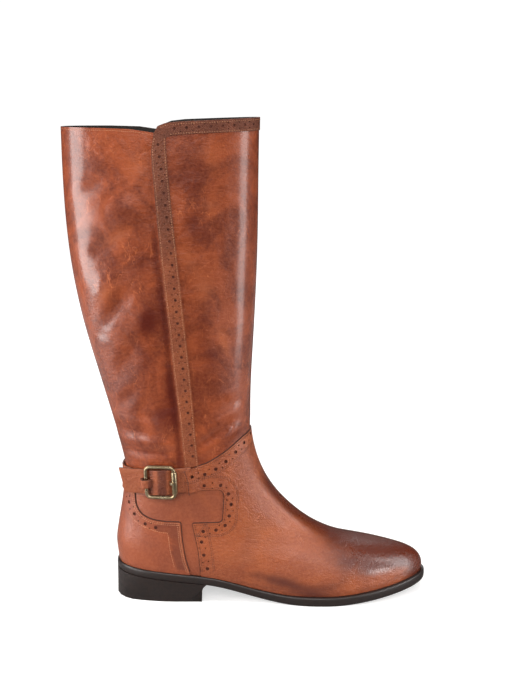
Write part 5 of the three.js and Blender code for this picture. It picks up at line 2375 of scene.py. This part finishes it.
# ---- The whole boot ----
def sew_boot(uppers: Uppers, stitching: Stitching) -> None:
    """Sews every seam of the leathers.

    Args:
        uppers: The leathers.
        stitching: The thread.
    """
    skin = uppers.skin
    long_pitch, short_pitch, strip_pitch, small, proud = 1.9, 1.7, 2.1, 0.85, 0.02

    def flush(_: Vector) -> float:
        """Gives the height of the shaft's own face."""
        return proud

    def on_strip(_: Vector) -> float:
        """Gives the height of the strip's face."""
        return uppers.strip_thickness + proud

    def on_overlay(point: Vector) -> float:
        """Gives the height of the face of vamp or counter at a point."""
        return uppers.overlay + proud + uppers.lift(np.array([point]) / MM)[0]

    def sew_dark(spots: Sequence[Spot], pitch: float = short_pitch, size: float = 1.0) -> None:
        """Sews a row of dark thread through vamp or counter, whose dark stitches also stand in for painted
        shade in the needle holes.
        """
        stitching.sew(skin, spots, pitch, on_overlay, size, Finish.DARK_THREAD_AND_HOLE_SHADE)

    stitching.prepare()
    for shift in (-1.5, -11.2, -12.6):
        for seam in (uppers.outer_seam, uppers.inner_seam):
            sew_dark(skin.shifted(seam, shift))
    for shift in (1.5, 11.0, 12.4):
        sew_dark(skin.shifted(uppers.window, shift))
    for shift in (-1.2, -2.7):
        stitching.sew(skin, skin.shifted(uppers.counter, shift), long_pitch, on_overlay)
    lower = skin.line(Side.OUTER, spline(COUNTER_LOWER[:5]) + spline(COUNTER_LOWER[4:]))
    stitching.sew(skin, lower, long_pitch, on_overlay)
    sew_dark(skin.line(Side.OUTER, spline(VAMP_REAR)), long_pitch, 1.5)
    for rows, inset in ((STRIP_REAR, 1.4), (STRIP_FRONT, -1.2)):
        edge = [(table(rows, z) + inset, z) for z in np.linspace(407, 124, 90)]
        stitching.sew(skin, skin.line(Side.OUTER, edge), strip_pitch, on_strip, small)
    behind, ahead = zip_x(412) - 6, zip_x(412) + 6
    topline = [(x, height_on(COLLAR_LINE, x) - 1.8) for x in np.linspace(-72, 89, 160)]
    lower_line = [(x, height_on(COLLAR_LINE, x) - BAND_WIDTH + 1.2) for x in np.linspace(-10, 89, 80)]
    for side, end in ((Side.OUTER, 6), (Side.INNER, behind)):
        rear = skin.line(side, [p for p in topline if p[0] < end])
        stitching.sew(skin, rear, short_pitch, flush, small)
    for line, start in ((topline, 12), (lower_line, 19)):
        outer = skin.line(Side.OUTER, [p for p in line if p[0] > start])
        inner = skin.line(Side.INNER, [p for p in line[::-1] if p[0] > ahead])
        stitching.sew(skin, outer + inner, strip_pitch, on_strip, small)
    stitching.finish()
    # painted shadow lines at the foot of the overlays' edges
    draw_edge_shadows(uppers)


def draw_edge_shadows(uppers: Uppers) -> None:
    """Lays a thin dark line at the foot of each overlay's cut edge, as painted shadow where the edge stands
    over the leather below.

    Args:
        uppers: The leathers.
    """
    height = 0.05
    skin, lines = uppers.skin, []
    seams = ((uppers.window, -1), (uppers.counter, 1), (uppers.outer_seam, 1), (uppers.inner_seam, 1))
    for number, (seam, away) in enumerate(seams):
        spots = skin.shifted(seam, away * uppers.edge_shadow * 0.8)
        curve = bpy.data.curves.new(f"edge shadow line {number}", "CURVE")
        curve.dimensions = "3D"
        curve.bevel_depth = uppers.edge_shadow * MM
        curve.bevel_resolution = 1
        run = curve.splines.new("POLY")
        run.points.add(len(spots) - 1)
        for point, spot in zip(run.points, spots):
            point.co = (*spot.raised(height), 1.0)
        line = bpy.data.objects.new(f"edge shadow line {number}", curve)
        bpy.context.scene.collection.objects.link(line)
        focus(line)
        bpy.ops.object.convert(target="MESH")
        lines.append(line)
    shadow_line_piece = join("edge_shadow", lines)
    uppers.wardrobe.dress(shadow_line_piece, Finish.EDGE_SHADOW)
    smooth_shade(shadow_line_piece)
    mount(shadow_line_piece, "thread")


def main() -> None:
    """Builds the boot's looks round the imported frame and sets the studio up."""
    logging.basicConfig(level=logging.INFO, format="%(name)s: %(message)s")
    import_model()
    Studio().build()
    effects = Effects()
    effects.build()
    wardrobe = Wardrobe(effects)
    last = Last()
    skin = last.build()
    uppers = Uppers(skin, wardrobe)
    uppers.build()
    sew_boot(uppers, Stitching(wardrobe))
    straps = Straps(last.plain, wardrobe)
    straps.build()
    Buckle(wardrobe).build()
    Zip(uppers.skin, straps, wardrobe).build()
    Sole(wardrobe).build()
    for scrap in (skin.piece, last.plain.piece, uppers.skin.piece, uppers.cutter.tube):
        bpy.data.objects.remove(scrap)


if __name__ == "__main__":
    main()
